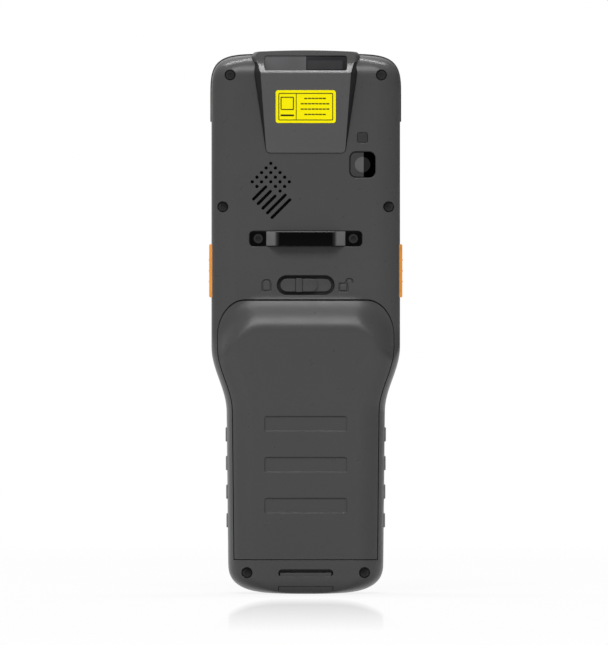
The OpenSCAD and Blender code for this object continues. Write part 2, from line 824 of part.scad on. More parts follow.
label_t = 0.15;

module asset_label() color("#fff200") translate([0, back_y - scan_rise(label_z), label_z]) rotate([scan_tilt, 0, 0])
    plate(-label_t, 0) rounded(label_w, label_h, 1);

// Camera and flash, both seated on the back wall
barrel_d = 6.6;
window_seat = 1.3;
window_in = 0.4;
camera_t = 5;
collar_t = 0.5;

module camera_window() color([0.1, 0.1, 0.11, 0.85]) plate(back_y + window_in, back_y + window_seat)
    translate([camera_x, camera_z]) rounded(camera_w - 0.3, camera_w - 0.3, 2.4);

module camera_module() color("#303336") {
    half = camera_w / 2 - collar_t;
    y_bar(camera_x, camera_z, back_y + window_seat + fit, inner_back + 1, barrel_d);
    y_bar(camera_x, camera_z, inner_back, inner_back + 1, barrel_d + 4 * collar_t);
    block([camera_x - half, inner_back + collar_t, camera_z - half],
        [camera_x + half, inner_back + camera_t, camera_z + half]);
}

module flash_window() color([0.85, 0.85, 0.8, 0.7]) {
    plate(back_y + window_in, inner_back) translate([camera_x, flash_z]) rounded(flash_w - 0.2, flash_w - 0.2, 0.9);
    plate(inner_back, inner_back + 0.8) translate([camera_x, flash_z]) rounded(flash_w + 1.4, flash_w + 1.4, 1.4);
}

// Speaker behind the hole pattern
speaker_mid_x = speaker_x - 0.2;
speaker_mid_z = speaker_z - speaker_step * 5.4;
mesh_t = 0.25;
mesh_w = 20;
mesh_h = 24;
mesh_round = 4;
speaker_rim = 1;
speaker_cone = 1.5;
speaker_t = 3.2;

module speaker_mesh() color("#1e1e1e") plate(inner_back, inner_back + mesh_t)
    translate([speaker_mid_x, speaker_mid_z]) rounded(mesh_w, mesh_h, mesh_round);

module loudspeaker() color("#3a3a3c") translate([speaker_mid_x, 0, speaker_mid_z]) {
    low = inner_back + mesh_t;
    plate(low, low + speaker_rim) rounded(mesh_w - 2 * speaker_rim, mesh_h - 2 * speaker_rim, mesh_round);
    plate(low + speaker_rim, low + speaker_rim + speaker_t)
        rounded(mesh_w - 2 * (speaker_rim + speaker_cone), mesh_h - 2 * (speaker_rim + speaker_cone), mesh_round - 1);
}

module strap_bridge() color("#17181a") difference() {
    top = back_y - bridge_up;
    seat = back_y + bridge_seat;
    flat_x = 10.4;
    foot_x = 15.4;
    intersection() {
        plate(top - over, seat + over) translate([0, bridge_z]) rounded(bridge_l, bridge_h, 1.5);
        translate([0, 0, bridge_z - bridge_h]) linear_extrude(2 * bridge_h) polygon([
            [-bridge_l, seat], [-bridge_l, seat - bridge_t], [-foot_x, seat - bridge_t], [-flat_x - 0.6, top + 0.4],
            [-flat_x + 0.4, top], [flat_x - 0.4, top], [flat_x + 0.6, top + 0.4], [foot_x, seat - bridge_t],
            [bridge_l, seat - bridge_t], [bridge_l, seat], [foot_x - 0.7, seat], [flat_x, top + bridge_t],
            [-flat_x, top + bridge_t], [-foot_x + 0.7, seat]]);
    }
    both_sides() y_bar(bridge_screw_x, bridge_z, back_y - over, seat + over, bridge_shank_d + 0.3);
}

module strap_bridge_screws() color("#222326") both_sides() difference() {
    seat = back_y + bridge_seat - bridge_t;
    union() {
        y_bar(bridge_screw_x, bridge_z, seat - 0.8, seat, bridge_screw_d);
        y_bar(bridge_screw_x, bridge_z, seat - fit, inner_back + 2.2, bridge_shank_d - 0.1);
    }
    for (a = [0, 90]) translate([bridge_screw_x, seat - 0.8 - over, bridge_z]) rotate([-90, a, 0])
        translate([-0.9, -0.2, 0]) cube([1.8, 0.4, over + 0.45]);
}

// Knob of the latch, standing on the slide in its slot
module latch_knob() color("#3d3d3d") {
    translate([knob_shift, 0, 0]) {
        plate(back_y + knob_in + 0.5, slide_back) translate([0, latch_z]) stadium(knob_l, knob_h);
        plate(back_y + knob_in, back_y + knob_in + 0.5) translate([0, latch_z]) stadium(knob_l - 0.8, knob_h - 0.8);
        plate(back_y + knob_in - 0.3, back_y + knob_in + 0.5) translate([0, latch_z]) rounded(2.4, knob_h - 0.6, 0.3);
    }
}

module latch_slide() color("#484848") {
    block([-latch_travel / 2 - slide_half, slide_back, slide_low], [-latch_travel / 2 + slide_half, slide_front, slide_high]);
    block([knob_shift - tongue_w / 2, slide_back, cover_top - tongue_reach], [knob_shift + tongue_w / 2, slide_front, latch_z]);
}

// Leaf that holds the slide at either end of its travel
module latch_detent() color("#b8b8b0") block([-slide_half, slide_front + fit, latch_z - detent_drop],
    [slide_half, slide_front + fit + detent_t, slide_high + rail_gap + rail_t]);

// Battery cover: the bulge's skin with a rim, ribs, pockets, hooks and strike posts
pocket_tall = 5.6;
pocket_drop = 35.8;
pocket_top = slope_low - pocket_drop;
pocket_room = pocket_top - cover_low - 2 * pocket_tall;
hook_w = 8;
hook_x = 16;
hook_t = 1.2;
hook_reach = 2;
hook_front = rebate_y - 0.5;
hook_back = hook_front - hook_t;

module battery_cover() color("#4b4b4b") {
    difference() {
        intersection() {
            body_solid();
            plate(bulge_y - over, rebate_y - fit) cover_shape(cover_gap);
        }
        difference() {
            intersection() {
                body_solid(-cover_wall);
                plate(bulge_y, rebate_y + over) cover_shape(cover_gap + cover_wall);
            }
            for (x = [-14, 14]) block([x - 0.8, bulge_y, cell_low + 6], [x + 0.8, cell_back, cell_low + cell_l - 8]);
        }
        for (i = [0:floor(pocket_room / pocket_step)]) plate(bulge_y - over, bulge_y + pocket_t)
            translate([0, pocket_top - pocket_step * i]) rounded(pocket_l, pocket_tall, 0.8);
        block([knob_shift - tongue_w / 2 - 1, slide_back - 0.3, cover_top - tongue_reach - 1],
            [knob_shift + tongue_w / 2 + latch_travel + 1, rebate_y + over, cover_top + over]);
    }
    both_sides() block([hook_x - hook_w / 2, hook_back, cover_low - hook_reach],
        [hook_x + hook_w / 2, hook_front, cover_low + cover_gap + 1]);
}

// Seal bonded inside the cover's rim, on the ledge side
module battery_seal() color("#1d1d1d") plate(rebate_y - fit - 0.9, rebate_y - fit) difference() {
    cover_shape(cover_gap + cover_wall);
    cover_shape(cover_gap + cover_wall + 1.2);
    translate([knob_shift + latch_travel / 2, cover_top]) square([tongue_w + latch_travel + 2, 12], center = true);
}

module battery_cell() color("#2b2f33") block([-cell_w / 2, cell_back, cell_low], [cell_w / 2, cell_front, cell_low + cell_l]);

// Sprung contact block in the bay's side of the main board
contact_w = 2;
contact_h = 4;
contact_t = 0.3;

module battery_contacts() color("#c9a552") for (i = [-1.5:1.5]) translate([2 * contact_w * i, 0, cell_low + contact_h])
    block([-contact_w / 2, bay_y - contact_t, 0], [contact_w / 2, bay_y, contact_h]);

// A side key, drawn on the right
module side_key() {
    y0 = side_key_y - side_key_deep / 2;
    y1 = side_key_y + side_key_deep / 2;
    z0 = side_key_z - side_key_l / 2;
    z1 = side_key_z + side_key_l / 2;
    out = body_w / 2 + side_key_up;
    plate(y0, y1) polygon([[body_w / 2 - side_key_root, z0],
        [out - 0.4, z0], [out, z0 + 0.5], [out, z1 - 0.5], [out - 0.4, z1], [body_w / 2 - side_key_root, z1]]);
    for (i = [-1:1]) translate([out - 0.25, side_key_y, side_key_z + 4.2 * i]) rotate([90, 0, 0])
        cylinder(d = 0.9, h = side_key_deep - 1, center = true, $fn = 24);
}

module side_key_left() color("#f0a03c") mirror([1, 0, 0]) side_key();
module side_key_right() color("#f0a03c") side_key();

switch_card_t = 1.6;
switch_t = 0.8;
switch_half = 1.2;
switch_gap = 0.3;

module side_switches() color("#9a9a94") both_sides() {
    x = body_w / 2 - side_key_root - side_key_travel - switch_gap;
    block([x - switch_t - switch_card_t, side_key_y - 2 * switch_half, side_key_z - 5 * switch_half],
        [x - switch_t, board_back, side_key_z + 5 * switch_half]);
    for (side = [-1, 1]) translate([x, side_key_y, side_key_z + side * side_key_l / 5])
        block([-switch_t, -switch_half, -switch_half], [0, switch_half, switch_half]);
}

// Rubber ribs on each side wall, as many as fit under the waist
rib_rise = 12.5;
rib_low = cover_low + rib_rise;
rib_count = floor((waist_low - rib_low - rib_h) / rib_step) + 1;
rib_deep = 6;
rib_up = 0.5;
rib_seat = 0.7;

module grip_ribs(g) {
    both_sides() for (i = [0:rib_count - 1]) {
        z0 = rib_low + rib_step * i;
        x = side_half(z0 + rib_h / 2);
        plate(split_y - 0.4 - rib_deep, split_y - 0.4) polygon([[x - rib_seat, z0 - g],
            [x, z0 - g], [x + rib_up, z0 + 0.5], [x + rib_up, z0 + rib_h - 0.5], [x, z0 + rib_h + g], [x - rib_seat, z0 + rib_h + g]]);
    }
}

module side_grips() color("#6a6a6a") grip_ribs(0);

module touch_lens() color([0.05, 0.06, 0.07, 0.9]) plate(front_y - lens_t, front_y - 0.05)
    translate([0, lens_z]) rounded(lens_w, lens_l, lens_round - 0.2);

module lens_gasket() color("#181818") plate(front_y - lens_t - gasket_t, front_y - lens_t) translate([0, lens_z]) difference() {
    rounded(panel_w - 2 - 2 * fit, panel_l - 2 - 2 * fit, 1);
    rounded(panel_w - 4.5, panel_l - 4.5, 0.6);
}

module display_panel() color("#1b2126") plate(panel_back, panel_back + panel_t)
    translate([0, lens_z]) rounded(panel_w, panel_l, 1);

module mid_frame() color("#a8abae") difference() {
    hole_h = panel_l / 2 + frame_out - frame_rim - frame_mid / 2;
    plate(board_y, panel_back) translate([0, lens_z]) rounded(panel_w + 2 * frame_out, panel_l + 2 * frame_out, 2);
    for (side = [-1, 1]) plate(board_y - over, panel_back + over)
        translate([0, lens_z + side * (frame_mid + hole_h) / 2]) rounded(frame_hole_w, hole_h, 4);
    screw_bosses(board_y - over, panel_back + over, boss_d + 1);
}

module main_board() color("#1f5a3a") difference() {
    neck = lens_z - lens_l / 2 + 4;
    union() {
        block([-board_neck, board_back, board_low], [board_neck, board_y, neck + over]);
        block([-board_half, board_back, neck], [board_half, board_y, lens_z + lens_l / 2 - 8]);
    }
    screw_bosses(board_back - over, board_y + over, boss_d + 1);
}

module shield_cans() color("#c4c6c8") {
    high = lens_z - can_space;
    block([-can_space / 2 - can_widths[0], board_back - can_t, high - can_h], [-can_space / 2, board_back, high]);
    block([can_space / 2, board_back - can_t, high - can_h], [can_space / 2 + can_widths[1], board_back, high]);
}

module keypad_membrane() color("#8c8c88") {
    plate(board_y, membrane_top - 0.3) translate([0, (keypad_low + scan_row) / 2])
        square([2 * board_neck - 2, scan_row - keypad_low + 2 * membrane_rim], center = true);
    for (s = key_spots) y_bar(s[0], s[1], membrane_top - 0.35, membrane_top, dome_d);
}

module usb_socket() color("#b9bcc0") {
    difference() {
        translate([0, flap_y, port_floor]) linear_extrude(socket_l) stadium(socket_w, socket_h);
        translate([0, flap_y, port_floor - over]) linear_extrude(socket_l) stadium(socket_w - 0.7, socket_h - 0.7);
    }
    block([-socket_w / 2 + 0.5, flap_y + socket_h / 2 - 0.3, board_low], [socket_w / 2 - 0.5, board_back, port_floor + socket_l + 3]);
}

module dock_contacts() color("#c9a552") for (x = pin_spots)
    translate([x, flap_y, port_floor]) cylinder(d = pin_d, h = port_t + 2, $fn = 24);

module port_flap() color("#262626") translate([0, 0, flap_low]) linear_extrude(flap_t) flap_shape(0);

motor_d = 4.4;
motor_l = 10;

module vibration_motor() color("#b4b6b8")
    translate([-can_space / 2 - can_widths[0], board_back - motor_d / 2, lens_z + can_space / 2])
    cylinder(d = motor_d, h = motor_l, $fn = turn);

module scan_key() color("#e8892c") key_cap(scan_spot);
module menu_key() color("#5c7f4a") key_cap(menu_spot);
module back_key() color("#8a3a34") key_cap(back_spot);
module power_key() color("#8a3a34") key_cap(power_spot);
module function_key_1() color("#55575a") key_cap(function_spot(1));
module function_key_2() color("#55575a") key_cap(function_spot(2));
module function_key_3() color("#55575a") key_cap(function_spot(3));
module function_key_4() color("#55575a") key_cap(function_spot(4));
module digit_key_0() color("#2f3133") key_cap(digit(0));
module digit_key_1() color("#2f3133") key_cap(digit(1));
module digit_key_2() color("#2f3133") key_cap(digit(2));
module digit_key_3() color("#2f3133") key_cap(digit(3));
module digit_key_4() color("#2f3133") key_cap(digit(4));
module digit_key_5() color("#2f3133") key_cap(digit(5));
module digit_key_6() color("#2f3133") key_cap(digit(6));
module digit_key_7() color("#2f3133") key_cap(digit(7));
module digit_key_8() color("#2f3133") key_cap(digit(8));
module digit_key_9() color("#2f3133") key_cap(digit(9));
module clear_key() color("#c8702a") key_cap(clear_spot);
module enter_key() color("#4c6f8a") key_cap(enter_spot);

rear_housing();
front_housing();
corner_bumper();
housing_seal();
housing_screws();
scanner_cover();
scan_window();
scan_engine();
scan_bracket();
asset_label();
camera_window();
camera_module();
flash_window();
loudspeaker();
speaker_mesh();
strap_bridge();
strap_bridge_screws();
latch_knob();
latch_slide();
latch_detent();
battery_cover();
battery_seal();
battery_cell();
battery_contacts();
side_key_left();
side_key_right();
side_switches();
side_grips();
touch_lens();
lens_gasket();
display_panel();
mid_frame();
main_board();
shield_cans();
keypad_membrane();
usb_socket();
dock_contacts();
port_flap();
vibration_motor();
scan_key();
menu_key();
back_key();
power_key();
function_key_1();
function_key_2();
function_key_3();
function_key_4();
digit_key_0();
digit_key_1();
digit_key_2();
digit_key_3();
digit_key_4();
digit_key_5();
digit_key_6();
digit_key_7();
digit_key_8();
digit_key_9();
clear_key();
enter_key();
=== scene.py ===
import math

import bpy
import bmesh
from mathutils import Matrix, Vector
from mathutils.bvhtree import BVHTree
from mathutils.interpolate import poly_3d_calc


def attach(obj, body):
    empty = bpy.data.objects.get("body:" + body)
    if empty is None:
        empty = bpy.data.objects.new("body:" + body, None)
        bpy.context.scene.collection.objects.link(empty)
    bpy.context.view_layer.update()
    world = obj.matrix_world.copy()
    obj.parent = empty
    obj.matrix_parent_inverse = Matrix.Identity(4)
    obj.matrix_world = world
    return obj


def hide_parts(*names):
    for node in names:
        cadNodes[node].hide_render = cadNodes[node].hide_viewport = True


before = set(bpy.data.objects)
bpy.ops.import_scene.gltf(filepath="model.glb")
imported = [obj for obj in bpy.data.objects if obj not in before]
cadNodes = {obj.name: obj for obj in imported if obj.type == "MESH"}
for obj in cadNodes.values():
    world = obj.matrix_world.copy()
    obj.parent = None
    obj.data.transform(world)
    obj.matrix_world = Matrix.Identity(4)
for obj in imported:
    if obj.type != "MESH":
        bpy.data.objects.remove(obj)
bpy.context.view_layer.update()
scene = bpy.context.scene
scene.view_settings.view_transform = "Standard"
mm = 0.001  # sizes below are in millimetres, meshes in metres
print("frame loaded:", len(cadNodes), "nodes")


def newObject(name, data):
    thing = bpy.data.objects.new(name, data)
    scene.collection.objects.link(thing)
    return thing


def fill(node, *feeds, **settings):
    # feeds go to the inputs in order, settings to the node itself or to the input of that name
    pairs = [(node.inputs[index], value) for index, value in enumerate(feeds)]
    for key, value in settings.items():
        if hasattr(node, key):
            setattr(node, key, value)
        else:
            pairs.append((node.inputs[key.replace("_", " ")], value))
    for socket, value in pairs:
        if isinstance(value, bpy.types.NodeSocket):
            node.id_data.links.new(value, socket)
        else:
            socket.default_value = value
    return node


def addNode(tree, kind, *feeds, **settings):
    return fill(tree.nodes.new(kind), *feeds, **settings)


def nodeOut(tree, kind, *feeds, **settings):
    return addNode(tree, kind, *feeds, **settings).outputs[0]


def calc(tree, operation, *feeds):
    return nodeOut(tree, "ShaderNodeMath", *feeds, operation=operation)


def remap(tree, value, low, high, newLow=0.0, newHigh=1.0):
    return nodeOut(tree, "ShaderNodeMapRange", value, low, high, newLow, newHigh)


def arrange(tree, across=220, down=260):
    # one column for each step away from the output
    columns = {node: 0 for node in tree.nodes}
    for turn in range(len(tree.nodes)):
        for wire in tree.links:
            columns[wire.from_node] = max(columns[wire.from_node], columns[wire.to_node] + 1)
    for column in set(columns.values()):
        for row, node in enumerate(node for node in columns if columns[node] == column):
            node.location = (-across * column, -down * row)


def grey(level):
    return (level, level, level, 1)


studio = {
    "cameraDistance": 4.0, "viewHeight": 0.25155, "aim": (-0.00068, 0.10556),
    "keyPower": 88.0, "keyPlace": (-0.20, -2.40, 2.70), "keySize": (2.60, 1.40),
    "topPower": 76.0, "topPlace": (-0.10, 0.70, 2.95), "topSize": (2.60, 0.45), "lampAim": 0.12,
    "ambient": 0.715, "rightAmbient": 0.6, "brightSide": 0.34, "paperReach": 0.9,
    "dimSide": 0.03, "dimReach": (-0.05, 0.45),
    "floorSize": 6.0, "floorBounce": 0.30, "floorGlow": 0.85, "floorShade": 0.075, "floorFade": (0.5, 0.9),
    "mirror": 0.34, "mirrorStart": (0.075, 0.165), "mirrorRound": 280000.0, "mirrorEnd": (0.09, 0.50),
    "mirrorBlur": 0.07,
}


def addCamera():
    data = bpy.data.cameras.new("camera")
    data.sensor_fit = "VERTICAL"
    data.sensor_height = 24.0
    data.lens = data.sensor_height * studio["cameraDistance"] / studio["viewHeight"]
    data.clip_end = 30.0
    camera = newObject("camera", data)
    camera.location = (studio["aim"][0], -studio["cameraDistance"], studio["aim"][1])
    camera.rotation_euler = (math.radians(90), 0, 0)
    scene.camera = camera


def addAreaLight(name, place, power, size):
    # a long soft strip across the room
    data = bpy.data.lights.new(name, "AREA")
    data.energy = power
    data.shape = "RECTANGLE"
    data.size, data.size_y = size
    light = newObject(name, data)
    light.location = place
    target = Vector((place[0], 0, studio["lampAim"]))
    light.rotation_euler = (target - light.location).to_track_quat("-Z", "Y").to_euler()


def startBlank(block):
    block.use_nodes = True
    block.node_tree.nodes.clear()
    return block.node_tree


def rayKinds(tree):
    # rays from the camera, and rays from a mirror or through glass
    path = addNode(tree, "ShaderNodeLightPath").outputs
    return path["Is Camera Ray"], calc(tree, "MAXIMUM", path["Is Glossy Ray"], path["Is Transmission Ray"])


def addWorld():
    # white paper hangs behind the piece, the left side of the room is bright and the right side dim
    s = studio
    scene.world = bpy.data.worlds.new("studio")
    tree = startBlank(scene.world)
    seen, mirrored = rayKinds(tree)
    around = addNode(tree, "ShaderNodeTexCoord").outputs["Generated"]
    place = addNode(tree, "ShaderNodeSeparateXYZ", around).outputs
    paper = remap(tree, place["Y"], 0.0, s["paperReach"], s["brightSide"], 1.0)
    dim = remap(tree, place["X"], *s["dimReach"], 1.0, s["dimSide"])
    ambient = remap(tree, place["X"], 0.0, 1.0, s["ambient"], s["ambient"] * s["rightAmbient"])
    room, reflected, white = (nodeOut(tree, "ShaderNodeBackground", grey(1), strength)
                              for strength in (ambient, calc(tree, "MULTIPLY", paper, dim), 1.0))
    light = nodeOut(tree, "ShaderNodeMixShader", mirrored, room, reflected)
    addNode(tree, "ShaderNodeOutputWorld", nodeOut(tree, "ShaderNodeMixShader", seen, light, white))
    arrange(tree)


def addFloor():
    # pale floor with a soft shadow and a faint mirror image that fades towards the front
    s = studio
    size = s["floorSize"]
    mesh = bpy.data.meshes.new("floor")
    corners = [(-size, -size, 0), (size, -size, 0), (size, size, 0), (-size, size, 0)]
    mesh.from_pydata(corners, [], [(0, 1, 2, 3)])
    floor = newObject("floor", mesh)
    material = bpy.data.materials.new("paleFloor")
    tree = startBlank(material)
    seen, mirrored = rayKinds(tree)
    spot = addNode(tree, "ShaderNodeTexCoord").outputs["Object"]
    place = addNode(tree, "ShaderNodeSeparateXYZ", spot).outputs
    distance = addNode(tree, "ShaderNodeVectorMath", spot, operation="LENGTH").outputs["Value"]
    square = calc(tree, "MULTIPLY", place["X"], place["X"])
    fourth = calc(tree, "MULTIPLY", square, square)
    front = calc(tree, "MULTIPLY", calc(tree, "MULTIPLY_ADD", fourth, s["mirrorRound"], place["Y"]), -1.0)
    begin = remap(tree, front, *s["mirrorStart"], 0.0, s["mirror"])
    end = remap(tree, distance, *s["mirrorEnd"], 1.0, 0.0)
    bounce, shade = (nodeOut(tree, "ShaderNodeBsdfDiffuse", grey(s[key]))
                     for key in ("floorBounce", "floorShade"))
    glow, white = (nodeOut(tree, "ShaderNodeEmission", grey(1), strength)
                   for strength in (s["floorGlow"], 1.0))
    mirror = nodeOut(tree, "ShaderNodeBsdfGlossy", Color=grey(1), Roughness=s["mirrorBlur"])
    shaded = nodeOut(tree, "ShaderNodeAddShader", glow, shade)
    glossy = nodeOut(tree, "ShaderNodeMixShader", calc(tree, "MULTIPLY", begin, end), shaded, mirror)
    near = nodeOut(tree, "ShaderNodeMixShader", remap(tree, distance, *s["floorFade"]), glossy, white)
    final = nodeOut(tree, "ShaderNodeMixShader", calc(tree, "MAXIMUM", seen, mirrored), bounce, near)
    addNode(tree, "ShaderNodeOutputMaterial", final)
    arrange(tree)
    mesh.materials.append(material)


addCamera()
addWorld()
addFloor()
addAreaLight("keyLight", studio["keyPlace"], studio["keyPower"], studio["keySize"])
addAreaLight("topLight", studio["topPlace"], studio["topPower"], studio["topSize"])
print("studio ready")


noiseSpan = (0.3, 0.7)  # most of a noise lies between these


def startMaterial(name, roughness=0.5, metallic=0.0, specular=0.5):
    material = bpy.data.materials.new(name)
    material.use_nodes = True
    shader = material.node_tree.nodes["Principled BSDF"]
    fill(shader, Roughness=roughness, Metallic=metallic, Specular_IOR_Level=specular)
    return material, material.node_tree, shader


def addCoordinates(tree, scale=(1, 1, 1)):
    spot = addNode(tree, "ShaderNodeTexCoord").outputs["Object"]
    return nodeOut(tree, "ShaderNodeMapping", Vector=spot, Scale=scale)


def addNoise(tree, vector, scale, detail):
    return nodeOut(tree, "ShaderNodeTexNoise", Vector=vector, Scale=scale, Detail=detail)


def spreadColour(tree, fac, dark, light):
    ramp = addNode(tree, "ShaderNodeValToRGB", fac)
    for stop, position, colour in zip(ramp.color_ramp.elements, noiseSpan, (dark, light)):
        stop.position, stop.color = position, (*colour, 1)
    return ramp.outputs["Color"]


def mixColour(tree, fac, first, second):
    mix = addNode(tree, "ShaderNodeMix", data_type="RGBA", Factor=fac, A=first, B=(*second, 1))
    return mix.outputs["Result"]


def tint(colour, factor):
    return tuple(min(1.0, max(0.0, part * factor)) for part in colour)


def finishShader(tree, shader, colour, height, strength, distance, rough=None, **normal):
    # colour, fine bump and, where given, a roughness that follows a pattern
    bump = addNode(tree, "ShaderNodeBump", Strength=strength, Distance=distance, Height=height, **normal)
    fill(shader, Base_Color=colour, Normal=bump.outputs["Normal"])
    if rough:
        pattern, low, high = rough
        fill(shader, Roughness=remap(tree, pattern, *noiseSpan, low, high))
    arrange(tree)


def mouldedPlastic(name, colour, roughness=0.30, specular=0.28, grain=0.12, rim=0.0002,
                   wear=0.5, mottle=0.02):
    # faint clouds of tone, a fine grain and smears, and edges rubbed paler
    material, tree, shader = startMaterial(name, roughness, 0.0, specular)
    vector = addCoordinates(tree)
    cloud, spark, smear = (addNoise(tree, vector, *size) for size in ((45, 3), (3200, 2), (220, 4)))
    base = spreadColour(tree, cloud, tint(colour, 1 - mottle), tint(colour, 1 + mottle))
    soft = nodeOut(tree, "ShaderNodeBevel", samples=4, Radius=rim)
    flat = addNode(tree, "ShaderNodeNewGeometry").outputs["Normal"]
    facing = addNode(tree, "ShaderNodeVectorMath", soft, flat, operation="DOT_PRODUCT").outputs["Value"]
    patchy = calc(tree, "MULTIPLY", remap(tree, facing, 0.98, 0.7, 0.0, wear), smear)
    wearAndSheen = mixColour(tree, patchy, base, tint(colour, 1.8))
    rough = (smear, roughness - 0.03, roughness + 0.04)
    finishShader(tree, shader, wearAndSheen, spark, grain, 0.00002, rough, Normal=soft)
    return material


def softRubber(name, colour, roughness=0.55, specular=0.3, grain=0.4):
    material, tree, shader = startMaterial(name, roughness, 0.0, specular)
    vector = addCoordinates(tree)
    dust, skin = addNoise(tree, vector, 160, 5), addNoise(tree, vector, 1500, 3)
    base = spreadColour(tree, dust, tint(colour, 0.9), tint(colour, 1.12))
    finishShader(tree, shader, base, skin, grain, 0.00003, (skin, roughness - 0.06, roughness + 0.06))
    return material


def brushedMetal(name, colour, roughness=0.35, metallic=1.0, specular=0.5, stretch=(1, 1, 14), scale=240):
    material, tree, shader = startMaterial(name, roughness, metallic, specular)
    streak = addNoise(tree, addCoordinates(tree, stretch), scale, 6)
    blot = addNoise(tree, addCoordinates(tree), 90, 3)
    base = spreadColour(tree, blot, tint(colour, 0.88), tint(colour, 1.08))
    finishShader(tree, shader, base, streak, 0.15, 0.00001, (streak, roughness - 0.08, roughness + 0.1))
    return material


def lacquerWithPaintedSheen(name, dark, pale):
    # black lacquer, with a painted reflection as a paler grey on the sloping parts of the strap bridge
    # and a painted highlight line along the upper edge of its raised part
    material, tree, shader = startMaterial(name, 0.35, 0.0, 0.04)
    reach = 22.0  # the ramp's span, just past the bridge's ends
    spot = addNode(tree, "ShaderNodeTexCoord").outputs["Object"]
    split = addNode(tree, "ShaderNodeSeparateXYZ", spot).outputs
    side = calc(tree, "ABSOLUTE", split["X"])
    ramp = addNode(tree, "ShaderNodeValToRGB", remap(tree, side, 0.0, reach * mm))
    stops = ramp.color_ramp.elements
    for x, colour in ((11.3, tint(pale, 0.2)), (12.2, pale), (15.2, pale)):
        stops.new(x / reach).color = (*colour, 1)
    stops[0].position, stops[0].color = 10.2 / reach, (*dark, 1)
    stops[-1].position, stops[-1].color = 15.45 / reach, (*dark, 1)
    # these two masks pick the raised part's upper edge, which gets a painted highlight line
    highlightLine, raised = remap(tree, split["Z"], 0.14065, 0.1408), remap(tree, side, 0.0118, 0.0122, 1.0, 0.0)
    wearAndSheen = mixColour(tree, calc(tree, "MULTIPLY", highlightLine, raised), ramp.outputs["Color"], pale)
    vector = addCoordinates(tree)
    rubbed, grain = addNoise(tree, vector, 300, 4), addNoise(tree, vector, 1400, 2)
    finishShader(tree, shader, wearAndSheen, grain, 0.15, 0.00001, (rubbed, 0.3, 0.42))
    return material


def darkGlass(name, colour, roughness=0.06, specular=0.5, coat=0.0):
    material, tree, shader = startMaterial(name, roughness, 0.0, specular)
    fill(shader, Coat_Weight=coat, Coat_Roughness=0.03)
    vector = addCoordinates(tree)
    film, ripple = addNoise(tree, vector, 120, 4), addNoise(tree, vector, 700, 1)
    base = spreadColour(tree, film, tint(colour, 0.92), tint(colour, 1.1))
    finishShader(tree, shader, base, ripple, 0.05, 0.000005, (film, roughness, roughness + 0.05))
    return material


def circuitBoard(name, colour, track):
    material, tree, shader = startMaterial(name, 0.35, 0.0, 0.5)
    vector = addCoordinates(tree)
    cells = nodeOut(tree, "ShaderNodeTexVoronoi", feature="DISTANCE_TO_EDGE", distance="MANHATTAN",
                    Vector=vector, Scale=520)
    tracks = calc(tree, "LESS_THAN", cells, 0.06)
    base = spreadColour(tree, addNoise(tree, vector, 90, 2), tint(colour, 0.85), tint(colour, 1.15))
    finishShader(tree, shader, mixColour(tree, tracks, base, track), tracks, 0.2, 0.00002)
    return material


